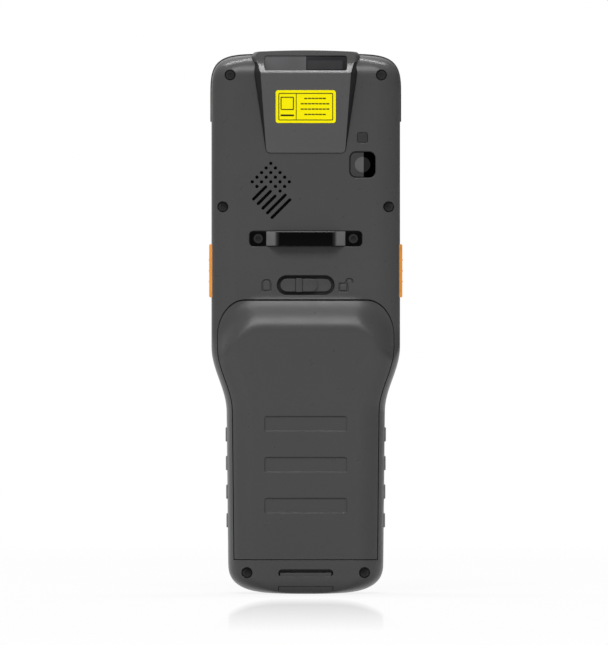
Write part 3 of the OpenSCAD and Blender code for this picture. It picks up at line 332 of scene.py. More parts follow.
bodyColour = (0.0565, 0.0565, 0.0573)
finishes = {
    "shell": mouldedPlastic("shellPlastic", bodyColour),
    "cover": mouldedPlastic("coverPlastic", bodyColour),
    "front": mouldedPlastic("frontPlastic", bodyColour),
    "hump": mouldedPlastic("humpPlastic", (0.0755, 0.0755, 0.0765)),
    # painted shade for the scan cover's side bevels
    "humpSide": mouldedPlastic("humpSidePlastic", (0.019, 0.019, 0.020)),
    "latch": mouldedPlastic("latchPlastic", (0.053, 0.053, 0.054)),
    "inner": mouldedPlastic("innerPlastic", (0.022, 0.022, 0.023), 0.5, 0.1),
    "bumper": softRubber("bumperRubber", (0.075, 0.075, 0.076), 0.42),
    "ribs": softRubber("ribRubber", (0.20, 0.20, 0.20), 0.5),
    "seal": softRubber("sealRubber", (0.02, 0.02, 0.02)),
    "flap": softRubber("flapRubber", (0.055, 0.055, 0.057)),
    "orange": softRubber("orangeRubber", (0.78, 0.30, 0.045), 0.45),
    "screw": brushedMetal("screwLacquer", (0.024, 0.024, 0.025), 0.5, 0.0, 0.1, (1, 1, 1), 900),
    # the strap bridge's paler grey is painted reflection and highlight on black lacquer
    "bridge": lacquerWithPaintedSheen("bridgeLacquer", (0.0016, 0.0016, 0.0017), (0.138, 0.138, 0.140)),
    "steel": brushedMetal("springSteel", (0.55, 0.56, 0.57), 0.3),
    "can": brushedMetal("shieldCan", (0.58, 0.58, 0.56), 0.35, 1.0, 0.5, (1, 1, 1), 500),
    "gold": brushedMetal("contactGold", (0.72, 0.48, 0.16), 0.25),
    "mesh": brushedMetal("meshWire", (0.004, 0.004, 0.004), 0.6, 0.0, 0.1),
    # the pale and middle window tones and the pale camera and lens tones are painted reflections
    "windowPale": darkGlass("windowPale", (0.105, 0.105, 0.108), 0.12, 0.2),
    "windowMiddle": darkGlass("windowMiddle", (0.040, 0.040, 0.042), 0.08, 0.2),
    "windowDark": darkGlass("windowDark", (0.024, 0.024, 0.026), 0.08, 0.2),
    "cameraPale": darkGlass("cameraPale", (0.051, 0.051, 0.052), 0.1, 0.1),
    "cameraDark": darkGlass("cameraDark", (0.0003, 0.0003, 0.0004), 0.15, 0.0),
    "lensPale": darkGlass("lensPale", (0.11, 0.11, 0.112), 0.1, 0.1),
    "lensDark": darkGlass("lensDark", (0.014, 0.014, 0.015), 0.1, 0.1),
    "flash": darkGlass("flashLens", (0.038, 0.038, 0.039), 0.2, 0.1),
    "lens": darkGlass("touchGlass", (0.006, 0.006, 0.007), 0.04, 0.5, 0.3),
    "screen": darkGlass("screenGlass", (0.012, 0.013, 0.016), 0.08),
    "label": mouldedPlastic("labelYellow", (1.0, 0.885, 0.0), 0.45, 0.1, 0.1, 0.00005, 0.0, 0.012),
    "ink": mouldedPlastic("labelInk", (0.035, 0.031, 0.006), 0.5, 0.1, 0.1, 0.00005, 0.0),
    "legend": mouldedPlastic("keyLegend", (0.75, 0.75, 0.73), 0.5, 0.3, 0.1, 0.00005, 0.0),
    "keyDark": softRubber("keyDark", (0.03, 0.031, 0.033)),
    "keyGrey": softRubber("keyGrey", (0.10, 0.103, 0.108)),
    "keyGreen": softRubber("keyGreen", (0.07, 0.22, 0.07)),
    "keyRed": softRubber("keyRed", (0.35, 0.03, 0.025)),
    "keyBlue": softRubber("keyBlue", (0.06, 0.16, 0.32)),
    "board": circuitBoard("boardGreen", (0.01, 0.09, 0.04), (0.05, 0.2, 0.1)),
    "wrap": mouldedPlastic("cellWrap", (0.03, 0.035, 0.04), 0.3, 0.5, 0.1),
    "membrane": softRubber("membraneRubber", (0.26, 0.26, 0.25), 0.6),
    "switch": mouldedPlastic("switchWhite", (0.45, 0.45, 0.43), 0.4, 0.5, 0.2),
    "engine": mouldedPlastic("engineBlack", (0.03, 0.035, 0.04), 0.45),
}
print("finishes ready:", len(finishes))


def meshPiece(name, points, faces):
    mesh = bpy.data.meshes.new(name)
    mesh.from_pydata([tuple(part * mm for part in point) for point in points], [], faces)
    work = bmesh.new()
    work.from_mesh(mesh)
    bmesh.ops.remove_doubles(work, verts=work.verts, dist=1e-8)
    bmesh.ops.recalc_face_normals(work, faces=work.faces)
    work.to_mesh(mesh)
    work.free()
    return newObject(name, mesh)


def paint(piece, *names):
    piece.data.materials.clear()
    for name in names:
        piece.data.materials.append(finishes[name])
    return piece


def plainMesh(piece):
    bpy.context.view_layer.update()
    return bpy.data.meshes.new_from_object(piece.evaluated_get(bpy.context.evaluated_depsgraph_get()))


def bakeModifiers(piece):
    old, piece.data = piece.data, plainMesh(piece)
    piece.modifiers.clear()
    bpy.data.meshes.remove(old)
    piece.data.name = piece.name


def bevelRims(piece, width, angle=30.0):
    bevel = piece.modifiers.new("rims", "BEVEL")
    bevel.width = width * mm
    bevel.segments = 3
    bevel.limit_method = "ANGLE"
    bevel.angle_limit = math.radians(angle)
    bakeModifiers(piece)


def discard(*pieces):
    for piece in pieces:
        mesh = piece.data
        bpy.data.objects.remove(piece)
        bpy.data.meshes.remove(mesh)


def carve(piece, tool, operation="DIFFERENCE", keep=False):
    step = piece.modifiers.new("carve", "BOOLEAN")
    step.operation = operation
    step.solver = "MANIFOLD"
    step.object = tool
    bakeModifiers(piece)
    if not piece.data.polygons:
        print("carve left nothing:", piece.name, tool.name)
    if not keep:
        discard(tool)
    return piece


def carveAll(piece, *tools):
    for tool in tools:
        carve(piece, tool)


def joinPieces(name, pieces):
    work = bmesh.new()
    materials = []
    for piece in pieces:
        start = len(work.faces)
        work.from_mesh(piece.data)
        work.faces.ensure_lookup_table()
        paints = list(piece.data.materials) or [None]
        materials += [material for material in paints if material not in materials]
        for face in work.faces[start:]:
            face.material_index = materials.index(paints[min(face.material_index, len(paints) - 1)])
    mesh = bpy.data.meshes.new(name)
    work.to_mesh(mesh)
    work.free()
    for material in materials:
        mesh.materials.append(material)
    discard(*pieces)
    return newObject(name, mesh)


def box(name, corner, opposite):
    spans = [sorted(pair) for pair in zip(corner, opposite)]
    points = [(x, y, z) for x in spans[0] for y in spans[1] for z in spans[2]]
    faces = [(0, 1, 3, 2), (4, 6, 7, 5), (0, 4, 5, 1), (2, 3, 7, 6), (0, 2, 6, 4), (1, 5, 7, 3)]
    return meshPiece(name, points, faces)


def stack(name, rings):
    # closed solid through rings of equal length
    count, last = len(rings[0]), (len(rings) - 1) * len(rings[0])
    faces = []
    for first in range(0, last, count):
        for i in range(count):
            a, b = first + i, first + (i + 1) % count
            faces.append((a, b, b + count, a + count))
    faces += [tuple(range(count - 1, -1, -1)), tuple(range(last, last + count))]
    return meshPiece(name, [point for ring in rings for point in ring], faces)


def loopPiece(name, rings):
    # closed band whose cross-section goes round the rings in turn
    count, total = len(rings[0]), len(rings) * len(rings[0])
    faces = []
    for first in range(0, total, count):
        for i in range(count):
            a, b = first + i, first + (i + 1) % count
            faces.append((a, b, (b + count) % total, (a + count) % total))
    return meshPiece(name, [point for ring in rings for point in ring], faces)


def slab(name, outline, y0, y1):
    return stack(name, [[(x, y, z) for x, z in outline] for y in (y0, y1)])


def pillar(name, outline, z0, z1):
    return stack(name, [[(x, y, z) for x, y in outline] for z in (z0, z1)])


def platePiece(name, outline, levels):
    # outline(grow) gives x, z points; levels are depth and grow pairs along Y
    return stack(name, [[(x, y, z) for x, z in outline(grow)] for y, grow in levels])


def arc(x, z, rx, rz, start, end, steps):
    turns = [math.radians(start + (end - start) * i / steps) for i in range(steps + 1)]
    return [(x + rx * math.cos(turn), z + rz * math.sin(turn)) for turn in turns]


def quarter(steps):
    return [math.pi / 2 * i / steps for i in range(steps + 1)]


def circle(x, z, radius, steps):
    turns = [2 * math.pi * i / steps for i in range(steps)]
    return [(x + radius * math.cos(turn), z + radius * math.sin(turn)) for turn in turns]


def roundedOutline(width, height, radius, grow=0.0, steps=6, x=0.0, z=0.0):
    w, h, r = width / 2 + grow, height / 2 + grow, max(0.02, radius + grow)
    outline = []
    for sx, sz, start in ((1, 1, 0), (-1, 1, 90), (-1, -1, 180), (1, -1, 270)):
        outline += arc(x + sx * (w - r), z + sz * (h - r), r, r, start, start + 90, steps)
    return outline


def stadiumOutline(length, height, grow=0.0, steps=16, x=0.0, z=0.0):
    r = height / 2 + grow
    half = (length - height) / 2
    return arc(x + half, z, r, r, -90, 90, steps) + arc(x - half, z, r, r, 90, 270, steps)


def roundedPlate(name, width, height, radius, x, z, levels, steps=6):
    return platePiece(name, lambda grow: roundedOutline(width, height, radius, grow, steps, x, z), levels)


def stadiumPlate(name, length, height, x, z, levels, steps=16):
    return platePiece(name, lambda grow: stadiumOutline(length, height, grow, steps, x, z), levels)


def softPolygon(corners, steps=6):
    # corners are x, z and radius, in order
    outline = []
    for i, (x, z, radius) in enumerate(corners):
        here, after = Vector((x, z)), corners[(i + 1) % len(corners)]
        a, b = (Vector(corners[i - 1][:2]) - here).normalized(), (Vector(after[:2]) - here).normalized()
        half = a.angle(b) / 2
        centre = here + (a + b).normalized() * radius / math.sin(half)
        start, end = (here + way * radius / math.tan(half) - centre for way in (a, b))
        first = math.atan2(start.y, start.x)
        turn = math.atan2(start.x * end.y - start.y * end.x, start.dot(end))
        outline += [(centre.x + radius * math.cos(first + turn * k / steps),
                     centre.y + radius * math.sin(first + turn * k / steps)) for k in range(steps + 1)]
    return outline


def softLevels(front, back, rim, steps=3):
    # depths of a plate with a rounded outer rim towards -Y
    levels = [(front + rim * (1 - math.cos(turn)), -rim * (1 - math.sin(turn))) for turn in quarter(steps)]
    return levels + [(back, 0.0)]


def flaredLevels(surface, bottom, flare):
    # cutter through a surface at a depth, with a chamfer of the given width at its mouth
    mouth = flare + 0.02
    return [(surface - 1, mouth), (surface, mouth), (surface + flare, 0.0), (bottom, 0.0)]


def sourceNormal(tree, source, point):
    # the smooth normal of a fine body surface at the spot nearest to a point
    near, facing, index, distance = tree.find_nearest(point, 0.0006)
    if near is None:
        return None
    face = source.polygons[index]
    weights = poly_3d_calc([source.vertices[v].co for v in face.vertices], near)
    normal = Vector((0, 0, 0))
    for vertex, weight in zip(face.vertices, weights):
        normal += source.vertices[vertex].normal * weight
    return tuple(normal.normalized()) if normal.length > 0 else None


def shadePiece(piece, angle=35.0, source=None):
    # smooth shading with sharp rims, and the true normals of the body where a face lies on it
    mesh = piece.data
    mesh.shade_smooth()
    mesh.set_sharp_from_angle(angle=math.radians(angle))
    if not source:
        return
    tree, body = source
    normals = [tuple(corner.vector) for corner in mesh.corner_normals]
    for polygon in mesh.polygons:
        place, facing, index, distance = tree.find_nearest(polygon.center, 0.0004)
        if place is None or distance > 0.00009 or facing.dot(polygon.normal) < 0.94:
            continue
        for loop in polygon.loop_indices:
            point = mesh.vertices[mesh.loops[loop].vertex_index].co
            normals[loop] = sourceNormal(tree, body, point) or normals[loop]
    mesh.normals_split_custom_set(normals)


def finishPiece(piece, body, material, replaces=(), angle=35.0, source=None):
    paints = piece.data.materials
    if not paints:
        paints.append(finishes[material])
    spare = finishes.get(material) or next(paint for paint in paints if paint)
    for index, given in enumerate(paints):
        if given is None:
            paints[index] = spare
    shadePiece(piece, angle, source)
    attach(piece, body)
    if replaces:
        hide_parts(*replaces)
    return piece


def startTree(name, inputs):
    # a tree with named inputs; gives back the sockets that carry them too
    tree = bpy.data.node_groups.new(name, "GeometryNodeTree")
    for way in ("INPUT", "OUTPUT"):
        tree.interface.new_socket("Geometry", in_out=way, socket_type="NodeSocketGeometry")
    for label, value in inputs:
        kind = {int: "NodeSocketInt", float: "NodeSocketFloat", tuple: "NodeSocketVector"}[type(value)]
        tree.interface.new_socket(label, in_out="INPUT", socket_type=kind).default_value = value
    return tree, addNode(tree, "NodeGroupInput").outputs


def endTree(tree, result, material):
    real = nodeOut(tree, "GeometryNodeRealizeInstances", result)
    painted = nodeOut(tree, "GeometryNodeSetMaterial", real, Material=finishes[material])
    addNode(tree, "NodeGroupOutput", painted)
    arrange(tree)
    return tree


def growPiece(name, tree, points, edges=(), **values):
    # values are the tree's inputs, such as headHeight for Head Height
    mesh = bpy.data.meshes.new(name)
    mesh.from_pydata([tuple(part * mm for part in point) for point in points], list(edges), [])
    piece = newObject(name, mesh)
    modifier = piece.modifiers.new("nodes", "NODES")
    modifier.node_group = tree
    for item in tree.interface.items_tree:
        key = item.name[0].lower() + item.name[1:].replace(" ", "")
        if item.in_out == "INPUT" and key in values:
            modifier[item.identifier] = values[key]
    bakeModifiers(piece)
    return piece


lyingDown = (math.radians(90), 0, 0)  # turns an upright part onto -Y


def rodTree(name, material):
    # a round rod along Y on each point
    tree, given = startTree(name, [("Diameter", 0.0012), ("Length", 0.004), ("Sides", 20)])
    radius = calc(tree, "MULTIPLY", given["Diameter"], 0.5)
    rod = addNode(tree, "GeometryNodeMeshCylinder", Vertices=given["Sides"], Radius=radius,
                  Depth=given["Length"])
    turned = nodeOut(tree, "GeometryNodeTransform", Geometry=rod.outputs["Mesh"], Rotation=lyingDown)
    copies = nodeOut(tree, "GeometryNodeInstanceOnPoints", Points=given["Geometry"], Instance=turned)
    return endTree(tree, copies, material)


def blockTree(name, cuts, material):
    # a block on each point, tilted about X
    tree, given = startTree(name, [("Size", (0.0012, 0.006, 0.0056)), ("Tilt", 0.0)])
    block = addNode(tree, "GeometryNodeMeshCube", Size=given["Size"],
                    Vertices_X=cuts[0], Vertices_Y=cuts[1], Vertices_Z=cuts[2])
    spin = nodeOut(tree, "ShaderNodeCombineXYZ", X=given["Tilt"])
    copies = nodeOut(tree, "GeometryNodeInstanceOnPoints", Points=given["Geometry"],
                     Instance=block.outputs["Mesh"], Rotation=spin)
    return endTree(tree, copies, material)


bodyShape = {
    "length": 210.0, "width": 73.5, "gripWidth": 61.7, "footWidth": 60.5,
    "front": 13.75, "back": -8.75, "split": 3.0, "wall": 2.0, "frontEdge": 3.0,
    "waistLow": 70.6, "waistRun": 25.6, "bulge": 6.0, "slopeLow": 102.3, "slopeTop": 117.5,
    "footFlat": 8.0, "footRun": 12.5, "footPower": 2.8, "footDepth": 4.5, "footBackRun": 7.0,
    "crownRun": 16.2, "crownPower": 3.5, "shoulderPower": 7.0, "crownDepth": 9.0, "crownBackRun": 9.0,
    "edgeWide": 10.0, "edgeDeep": 6.0, "gripEdgeWide": 10.4, "gripEdgeDeep": 12.0,
    "slopeCorner": (9.0, 4.5, 14.0), "coverTop": 114.2, "coverLow": 13.2, "rebateY": -5.45,
}
split, back, front = bodyShape["split"], bodyShape["back"], bodyShape["front"]
crownLow = bodyShape["length"] - bodyShape["crownRun"]
waistTop = bodyShape["waistLow"] + bodyShape["waistRun"]
coverTop, coverLow, rebateY = bodyShape["coverTop"], bodyShape["coverLow"], bodyShape["rebateY"]


def sideHalf(z):
    b = bodyShape
    if z < b["waistLow"]:
        share = max(0, z - b["footRun"]) / (b["waistLow"] - b["footRun"])
        return b["footWidth"] / 2 + (b["gripWidth"] - b["footWidth"]) / 2 * share
    if z > waistTop:
        return b["width"] / 2
    share = (1 - math.cos(math.pi * (z - b["waistLow"]) / b["waistRun"])) / 2
    return b["gripWidth"] / 2 + (b["width"] - b["gripWidth"]) / 2 * share


def halfWidth(z, grow):
    b = bodyShape
    if z < b["footRun"]:
        share = max(0, 1 - ((b["footRun"] - z) / (b["footRun"] + grow)) ** b["footPower"])
        return b["footFlat"] + (b["footWidth"] / 2 - b["footFlat"] + grow) * share ** (1 / b["footPower"])
    if z < crownLow:
        return sideHalf(z) + grow
    share = max(0, 1 - ((z - crownLow) / (b["crownRun"] + grow)) ** b["crownPower"])
    return max(1, (b["width"] / 2 + grow) * share ** (1 / b["shoulderPower"]))


def bulge(z):
    b = bodyShape
    if z < b["slopeLow"]:
        return 1.0
    if z > b["slopeTop"]:
        return 0.0
    return (1 + math.cos(math.pi * (z - b["slopeLow"]) / (b["slopeTop"] - b["slopeLow"]))) / 2


def endPull(distance, run, depth):
    return 0.0 if distance >= run else depth * (1 - math.sqrt(max(0, 1 - (1 - distance / run) ** 2)))


def cornerDrop(x, edge):
    # towards its corners the slope of the battery bulge starts lower
    run, fall, most = bodyShape["slopeCorner"]
    return min(most, fall * (max(0, x - edge + run) / run) ** 2)


def faceBack(z, grow, drop=0.0):
    b = bodyShape
    return (b["back"] - b["bulge"] * bulge(z + drop) - grow
            + endPull(z + grow, b["footBackRun"] + grow, b["footDepth"])
            + endPull(b["length"] + grow - z, b["crownBackRun"] + grow, b["crownDepth"]))


def faceFront(z, grow):
    b = bodyShape
    return (b["front"] + grow - endPull(z + grow, b["frontEdge"] + grow, b["frontEdge"])
            - endPull(b["length"] + grow - z, b["frontEdge"] + grow, b["frontEdge"]))


def bodySection(z, grow, flats, turns, noses):
    b = bodyShape
    w, face = halfWidth(z, grow), faceFront(z, grow)
    share = bulge(z + b["slopeCorner"][1])
    wide = min(b["edgeWide"] + (b["gripEdgeWide"] - b["edgeWide"]) * share + grow, w * 0.7)
    flat = w - wide
    spots = [flat * math.sin(math.pi / 2 * i / flats) for i in range(flats)]
    half = [(x, faceBack(z, grow, cornerDrop(x, flat))) for x in spots]
    for t in quarter(turns):
        x = flat + wide * math.sin(t)
        drop = cornerDrop(x, flat)
        rear = faceBack(z, grow, drop)
        deep = b["edgeDeep"] + (b["gripEdgeDeep"] - b["edgeDeep"]) * bulge(z + drop) + grow
        deep = min(deep, (face - rear) * 0.55)
        half.append((x, rear + deep - deep * math.cos(t)))
    nose = min(b["frontEdge"] + grow, w * 0.3)
    half += [(w - nose + nose * math.cos(t), face - nose + nose * math.sin(t)) for t in quarter(noses)]
    half += [((w - nose) * i / flats, face) for i in range(flats - 1, -1, -1)]
    return [(x, y, z) for x, y in half] + [(-x, y, z) for x, y in half[-2:0:-1]]


def bodyLevels(grow, fine):
    # heights of the sections, closest together where the outline turns
    b = bodyShape
    foot, crown = b["footRun"] + grow, b["crownRun"] + grow
    turns = [math.pi / 2 * (1 - i / (9 * fine)) for i in range(9 * fine + 1)]
    levels = [b["footRun"] - foot * math.sin(turn) ** (2 / b["footPower"]) for turn in turns]
    for low, high, steps, first, last in ((b["footRun"], b["waistLow"], 4 * fine, 1, -1),
                                          (b["waistLow"], waistTop, 8 * fine, 0, 0),
                                          (waistTop, b["slopeTop"], 14 * fine, 1, 0),
                                          (b["slopeTop"], crownLow, 5 * fine, 1, -1)):
        levels += [low + (high - low) * i / steps for i in range(first, steps + 1 + last)]
    return levels + [crownLow + crown * math.sin(t) ** (2 / b["crownPower"]) for t in quarter(12 * fine)]


def bodySolid(name, grow=0.0, fine=1, turns=8, flats=6, noses=4):
    return stack(name, [bodySection(z, grow, flats, turns, noses) for z in bodyLevels(grow, fine)])


def normalSource(grow):
    piece = bodySolid("normalSource", grow, 3, 20, 18, 8)
    mesh = piece.data.copy()
    tree = BVHTree.FromPolygons([v.co for v in mesh.vertices], [tuple(p.vertices) for p in mesh.polygons])
    discard(piece)
    return tree, mesh


def coverOutline(shrink):
    b = bodyShape
    low, top = coverLow + shrink, coverTop + 0.4 - max(shrink, 2 * shrink)
    inset, corner, radius = 2.2 + shrink, coverTop - 14.0, 11 - shrink
    heights = [low] + [17.2 + (b["waistLow"] - 17.2) * i / 8 for i in range(8)]
    heights += [b["waistLow"] + b["waistRun"] * i / 16 for i in range(17)]
    right = [(sideHalf(z) - inset, z) for z in heights]
    right += arc(sideHalf(corner) - inset - radius, corner, radius, top - corner, 0, 90, 16)
    return right + [(-x, z) for x, z in right[::-1]]


surfaceSource = normalSource(0.0)
bumperSource = normalSource(0.5)
print("body shape ready")


rearShellSet = {
    "latchSlot": (22.5, 7.6, 120.1), "slotFloor": (-7.45, -6.72, 2.6), "bridgeSeat": (43.8, 5.8, 138.2),
    "camera": (22.1, 167.0, 10.1), "flash": (22.1, 177.5, 4.1), "screwBore": 4.3, "shankBore": 2.9,
    "keyRoom": (33.25, -5.35), "keyOpening": (35.7, -4.2), "keyTop": 1.85, "hookSize": (4.4, -7.55, -5.05),
    "screws": [(22.85, 8.35, -10.85), (32.3, 150.6, -4.35), (29.45, 201.9, -5.35)],
    "speaker": (-13.6, 167.5, 1.8, 1.3, 1.15), "keySpan": (114.95, 136.45),
    "keyWalls": ((33.2, 113.9, 119.4), (35.3, 113.9, 114.75), (33.2, 132.0, 137.5), (35.3, 136.65, 137.5)),
    "bridgeScrew": 18.5, "hook": 16, "ribLow": 25.7, "ribStep": 11.15, "ribTall": 5.6,
    "port": (9.2, 3.4, 3.5), "contacts": (-11.5, -9.5, -7.5, 7.5, 9.5, 11.5), "strapMouth": 21.4,
}
speakerHoles = [(0, 0), (-1, 1), (1, 1), (-2, 2), (0, 2), (2, 2), (-3, 3), (-1, 3), (1, 3), (3, 3),
                (-4, 4), (-2, 4), (0, 4), (2, 4), (4, 4), (-3, 5), (1, 5), (3, 5), (2, 6)]
speakerSlots = [(-1, 5, 2.8), (0, 6, 2.8), (1, 7, 2.8), (3.2, 6.8, 4), (4.2, 7.8, 4)]
screwSpots = [(side * x, z, y) for x, z, y in rearShellSet["screws"] for side in (-1, 1)]
ribSpots = [(side, rearShellSet["ribLow"] + rearShellSet["ribStep"] * i)
            for side in (-1, 1) for i in range(4)]


def yBar(name, x, z, y0, y1, diameter, steps=40):
    return slab(name, circle(x, z, diameter / 2, steps), y0, y1)


def slantedSlot(name, x, z, length, width, y0, y1):
    lean = math.sqrt(0.5)
    outline = [(x + (px - pz) * lean, z + (px + pz) * lean) for px, pz in stadiumOutline(length, width, 0, 8)]
    return slab(name, outline, y0, y1)


def portBlock():
    return box("portPad", (-15.95, -2.5, 1), (15.95, 9.5, 3.5))


def flapOutline(grow):
    return roundedOutline(27.9, 8.0, 1.5, grow, 6, 0, rearShellSet["port"][2])


def portCuts(piece):
    # flap pocket, socket hole and contact holes, drilled up from the foot
    length, height, middle = rearShellSet["port"]
    carve(piece, pillar("pocket", flapOutline(0.4), -1, 1.7))
    carve(piece, pillar("hole", stadiumOutline(length, height, 0, 10, 0, middle), 0, 4.5))
    for x in rearShellSet["contacts"]:
        carve(piece, pillar("drill", circle(x, middle, 0.62, 16), 0, 4.5))


def strapMouths(piece):
    # two mouths joined behind a moulded bar, each half filled by a ledge
    wide = rearShellSet["strapMouth"]
    carveAll(piece, slab("mouth", stadiumOutline(wide, 2.9, 0, 12, 0, 8.2), -16, -9.55),
             slab("mouth", roundedOutline(wide, 1.7, 0.3, 0, 3, 0, 2.2), -16, -9.55),
             box("channel", (-10.7, -11.75, 1.4), (10.7, -9.55, 9.2)))
    carve(piece, box("ledge", (-9.95, -14.1, 6.2), (9.95, -9.4, 8.3)), "UNION")
    profile = ((-9.4, 1.1), (-13.1, 1.1), (-13.7, 2.95), (-9.4, 2.95))
    carve(piece, stack("ledge", [[(x, y, z) for y, z in profile] for x in (-10.45, 10.45)]), "UNION")


lockSet = {"half": 0.46, "deep": 0.5, "closed": -15.25, "open": (14.65, 119.2), "shackle": (17.0, 121.2, 1.3)}


def closedLock(grow):
    x, low, high, half = lockSet["closed"], 117.9 - grow, 122.1 + grow, 1.6 + grow
    corners = ((-half, low, 0.25), (half, low, 0.25), (half, high, half * 0.98), (-half, high, half * 0.98))
    return softPolygon([(x + dx, z, radius) for dx, z, radius in corners])


def openLock(grow):
    return roundedOutline(3.1, 2.9, 0.2, grow, 3, *lockSet["open"])


def cutLockMarks(piece):
    # engraved closed and open padlock, each groove a narrow V
    wide, deep = lockSet["half"] * 1.25, lockSet["deep"]

    def profile(size):
        return ((back - 0.1, size), (back + deep, 0.03), (back + deep, -0.03), (back - 0.1, -size))

    for outline in (closedLock, openLock):
        rings = [[(x, y, z) for x, z in outline(grow)] for y, grow in profile(wide)]
        carve(piece, loopPiece("groove", rings))
    x, z, radius = lockSet["shackle"]
    path = [(15.7, 120.75)] + arc(x, z, radius, radius, 170, 10, 8) + [(18.35, 121.0)]
    rings = []
    for i, (x, z) in enumerate(path):
        before, after = path[max(0, i - 1)], path[min(len(path) - 1, i + 1)]
        length = math.dist(before, after)
        nx, nz = (before[1] - after[1]) / length, (after[0] - before[0]) / length
        size = wide * (0.6 if i in (0, len(path) - 1) else 1)
        rings.append([(x + nx * g, y, z + nz * g) for y, g in profile(size)])
    carve(piece, stack("groove", rings))


def makeRearShell():
    s = rearShellSet
    shell = bodySolid("rearShell", 0.0, 2, 14, 12, 4)
    carve(shell, box("half", (-60, -40, -5), (60, split, 230)), "INTERSECT")
    inside = bodySolid("inside", -bodyShape["wall"])
    carveAll(inside, slab("rim", coverOutline(-1.2), -20, rebateY + 1.6),
             box("bayWalls", (-24.0, rebateY, 18.0), (24.0, 1.2, 102.6)),
             box("strapChannel", (-12.1, -16, -1), (12.1, -8.15, coverLow)), portBlock())
    carve(shell, inside)
    for x, z, y in screwSpots:
        post = yBar("post", x, z, -16, split, s["screwBore"] + 2.0)
        carve(post, bodySolid("skin", -0.6), "INTERSECT")
        carve(shell, post, "UNION")
    carve(shell, slab("rebate", coverOutline(0), -20, rebateY))
    carve(shell, box("bay", (-22.6, rebateY - 1, 19.4), (22.6, 0.0, 101.2)))
    length, height, slotZ = s["latchSlot"]
    carve(shell, stadiumPlate("slot", length, height, 0, slotZ, flaredLevels(back, -5.0, 0.15)))
    floorY, floorEnd, inset = s["slotFloor"]
    levels = softLevels(floorY, floorEnd, 0.12)
    floor = stadiumPlate("slotFloor", length - inset, height - inset, 0, slotZ, levels)
    width, seatHeight, bridgeZ = s["bridgeSeat"]
    levels = flaredLevels(back, -7.75, 0.25)
    carve(shell, roundedPlate("bridgeSeat", width, seatHeight, 1.6, 0, bridgeZ, levels))
    x, z, size = s["camera"]
    carve(shell, roundedPlate("cameraSeat", size, size, 2.5, x, z, flaredLevels(back, -7.45, 0.3), 8))
    carve(shell, yBar("barrelHole", x, z, -9, -5, 7.4))
    x, z, size = s["flash"]
    carve(shell, roundedPlate("flashHole", size, size, 1.0, x, z, flaredLevels(back, -5, 0.2)))
    keyLow, keyHigh = s["keySpan"]
    roomX, roomY = s["keyRoom"]
    doorX, doorY = s["keyOpening"]
    reach, hookLow, hookHigh = s["hookSize"]
    for side in (-1, 1):
        hook = side * s["hook"]
        carveAll(shell, yBar("bridgeBore", side * s["bridgeScrew"], bridgeZ, -8.5, -4.4, 1.8, 24),
                 box("keyRoom", (side * roomX, roomY, keyLow), (side * (doorX + 0.1), s["keyTop"], keyHigh)),
                 box("keyOpening", (side * doorX, doorY, keyLow), (side * 40, s["keyTop"], keyHigh)),
                 box("hookPocket", (hook - reach, hookLow, 10.8), (hook + reach, hookHigh, 14.2)))
    for x, z, y in screwSpots:
        carveAll(shell, yBar("bore", x, z, -20, y, s["screwBore"]),
                 yBar("shankBore", x, z, y - 1, 5, s["shankBore"], 24))
    x, z, step, hole, slot = s["speaker"]
    points = [(x + step * i, -7.75, z - step * j) for i, j in speakerHoles]
    tree = rodTree("speakerPerforations", "shell")
    carve(shell, growPiece("drills", tree, points, diameter=hole * mm, length=4 * mm))
    for i, j, run in speakerSlots:
        middle = (x + step * (i - run / 2), z - step * (j + run / 2))
        carve(shell, slantedSlot("slot", *middle, run * step * math.sqrt(2) + 0.8, slot, -10, -6))
    carve(shell, scanBlock("scanSeat", -0.03))
    strapMouths(shell)
    portCuts(shell)
    cutLockMarks(shell)
    for side, z in ribSpots:
        x = sideHalf(z + s["ribTall"] / 2)
        carve(shell, box("ribSeat", (side * (x - 0.7), -3.4, z), (side * (x + 2), 2.6, z + s["ribTall"])))
    # a dark ring round the slot's floor: painted shade in the gap beside the floor
    rings = [[(px, y, pz) for px, pz in stadiumOutline(length, height, grow, 16, 0, slotZ)]
             for y, grow in ((-6.95, 0.3), (-6.95, -1.35), (-6.75, -1.35), (-6.75, 0.3))]
    shade = loopPiece("slotShade", rings)
    # walls close the key rooms from the inside, past the switches
    walls = [paint(box("keyWall", (side * 32.5, -5.9, low), (side * far, 1.8, high)), "shell")
             for side in (-1, 1) for far, low, high in s["keyWalls"]]
    shell = joinPieces("rearShell", [shell, floor, paint(shade, "screw")] + walls)
    finishPiece(shell, "terminal", "shell", ["rear_housing"], 32, surfaceSource)


scanSet = {
    "top": 211.5, "low": 171.6, "rise": 5.5, "step": 0.42, "wide": 21.4, "narrow": 15.4, "bevel": 2.5,
    "arch": 0.45, "cornerTop": 2.0, "cornerLow": 1.7, "faceZ": 202.5, "lipZ": 207.3, "faceY": -8.5,
    "wall": 1.8, "rim": 0.3, "levelRun": 4, "levelRise": 0.9, "crownFall": (202, 5.2),
    "window": (32.2, 5.9, 1.1), "paneTilt": 5.0, "pane": (-8.3, 206.5), "collar": 0.9,
    "flank": (3.4, -5.0, 207.6), "label": (23.4, 12.9, 189.5),
}
faceTilt = math.radians(90 - scanSet["paneTilt"])
slopeStart = scanSet["low"] + scanSet["levelRun"]


def scanRise(z):
    # height of the sloping face, which levels out at its low end
    s = scanSet
    if z > slopeStart:
        return (s["rise"] - s["levelRise"]) * (z - slopeStart) / (s["faceZ"] - slopeStart) + s["levelRise"]
    return s["step"] + (s["levelRise"] - s["step"]) * (max(0, z - s["low"]) / s["levelRun"]) ** 1.5


def scanHalf(z):
    s = scanSet
    return s["narrow"] + (s["wide"] - s["narrow"]) * (z - s["low"]) / (s["top"] - s["low"])


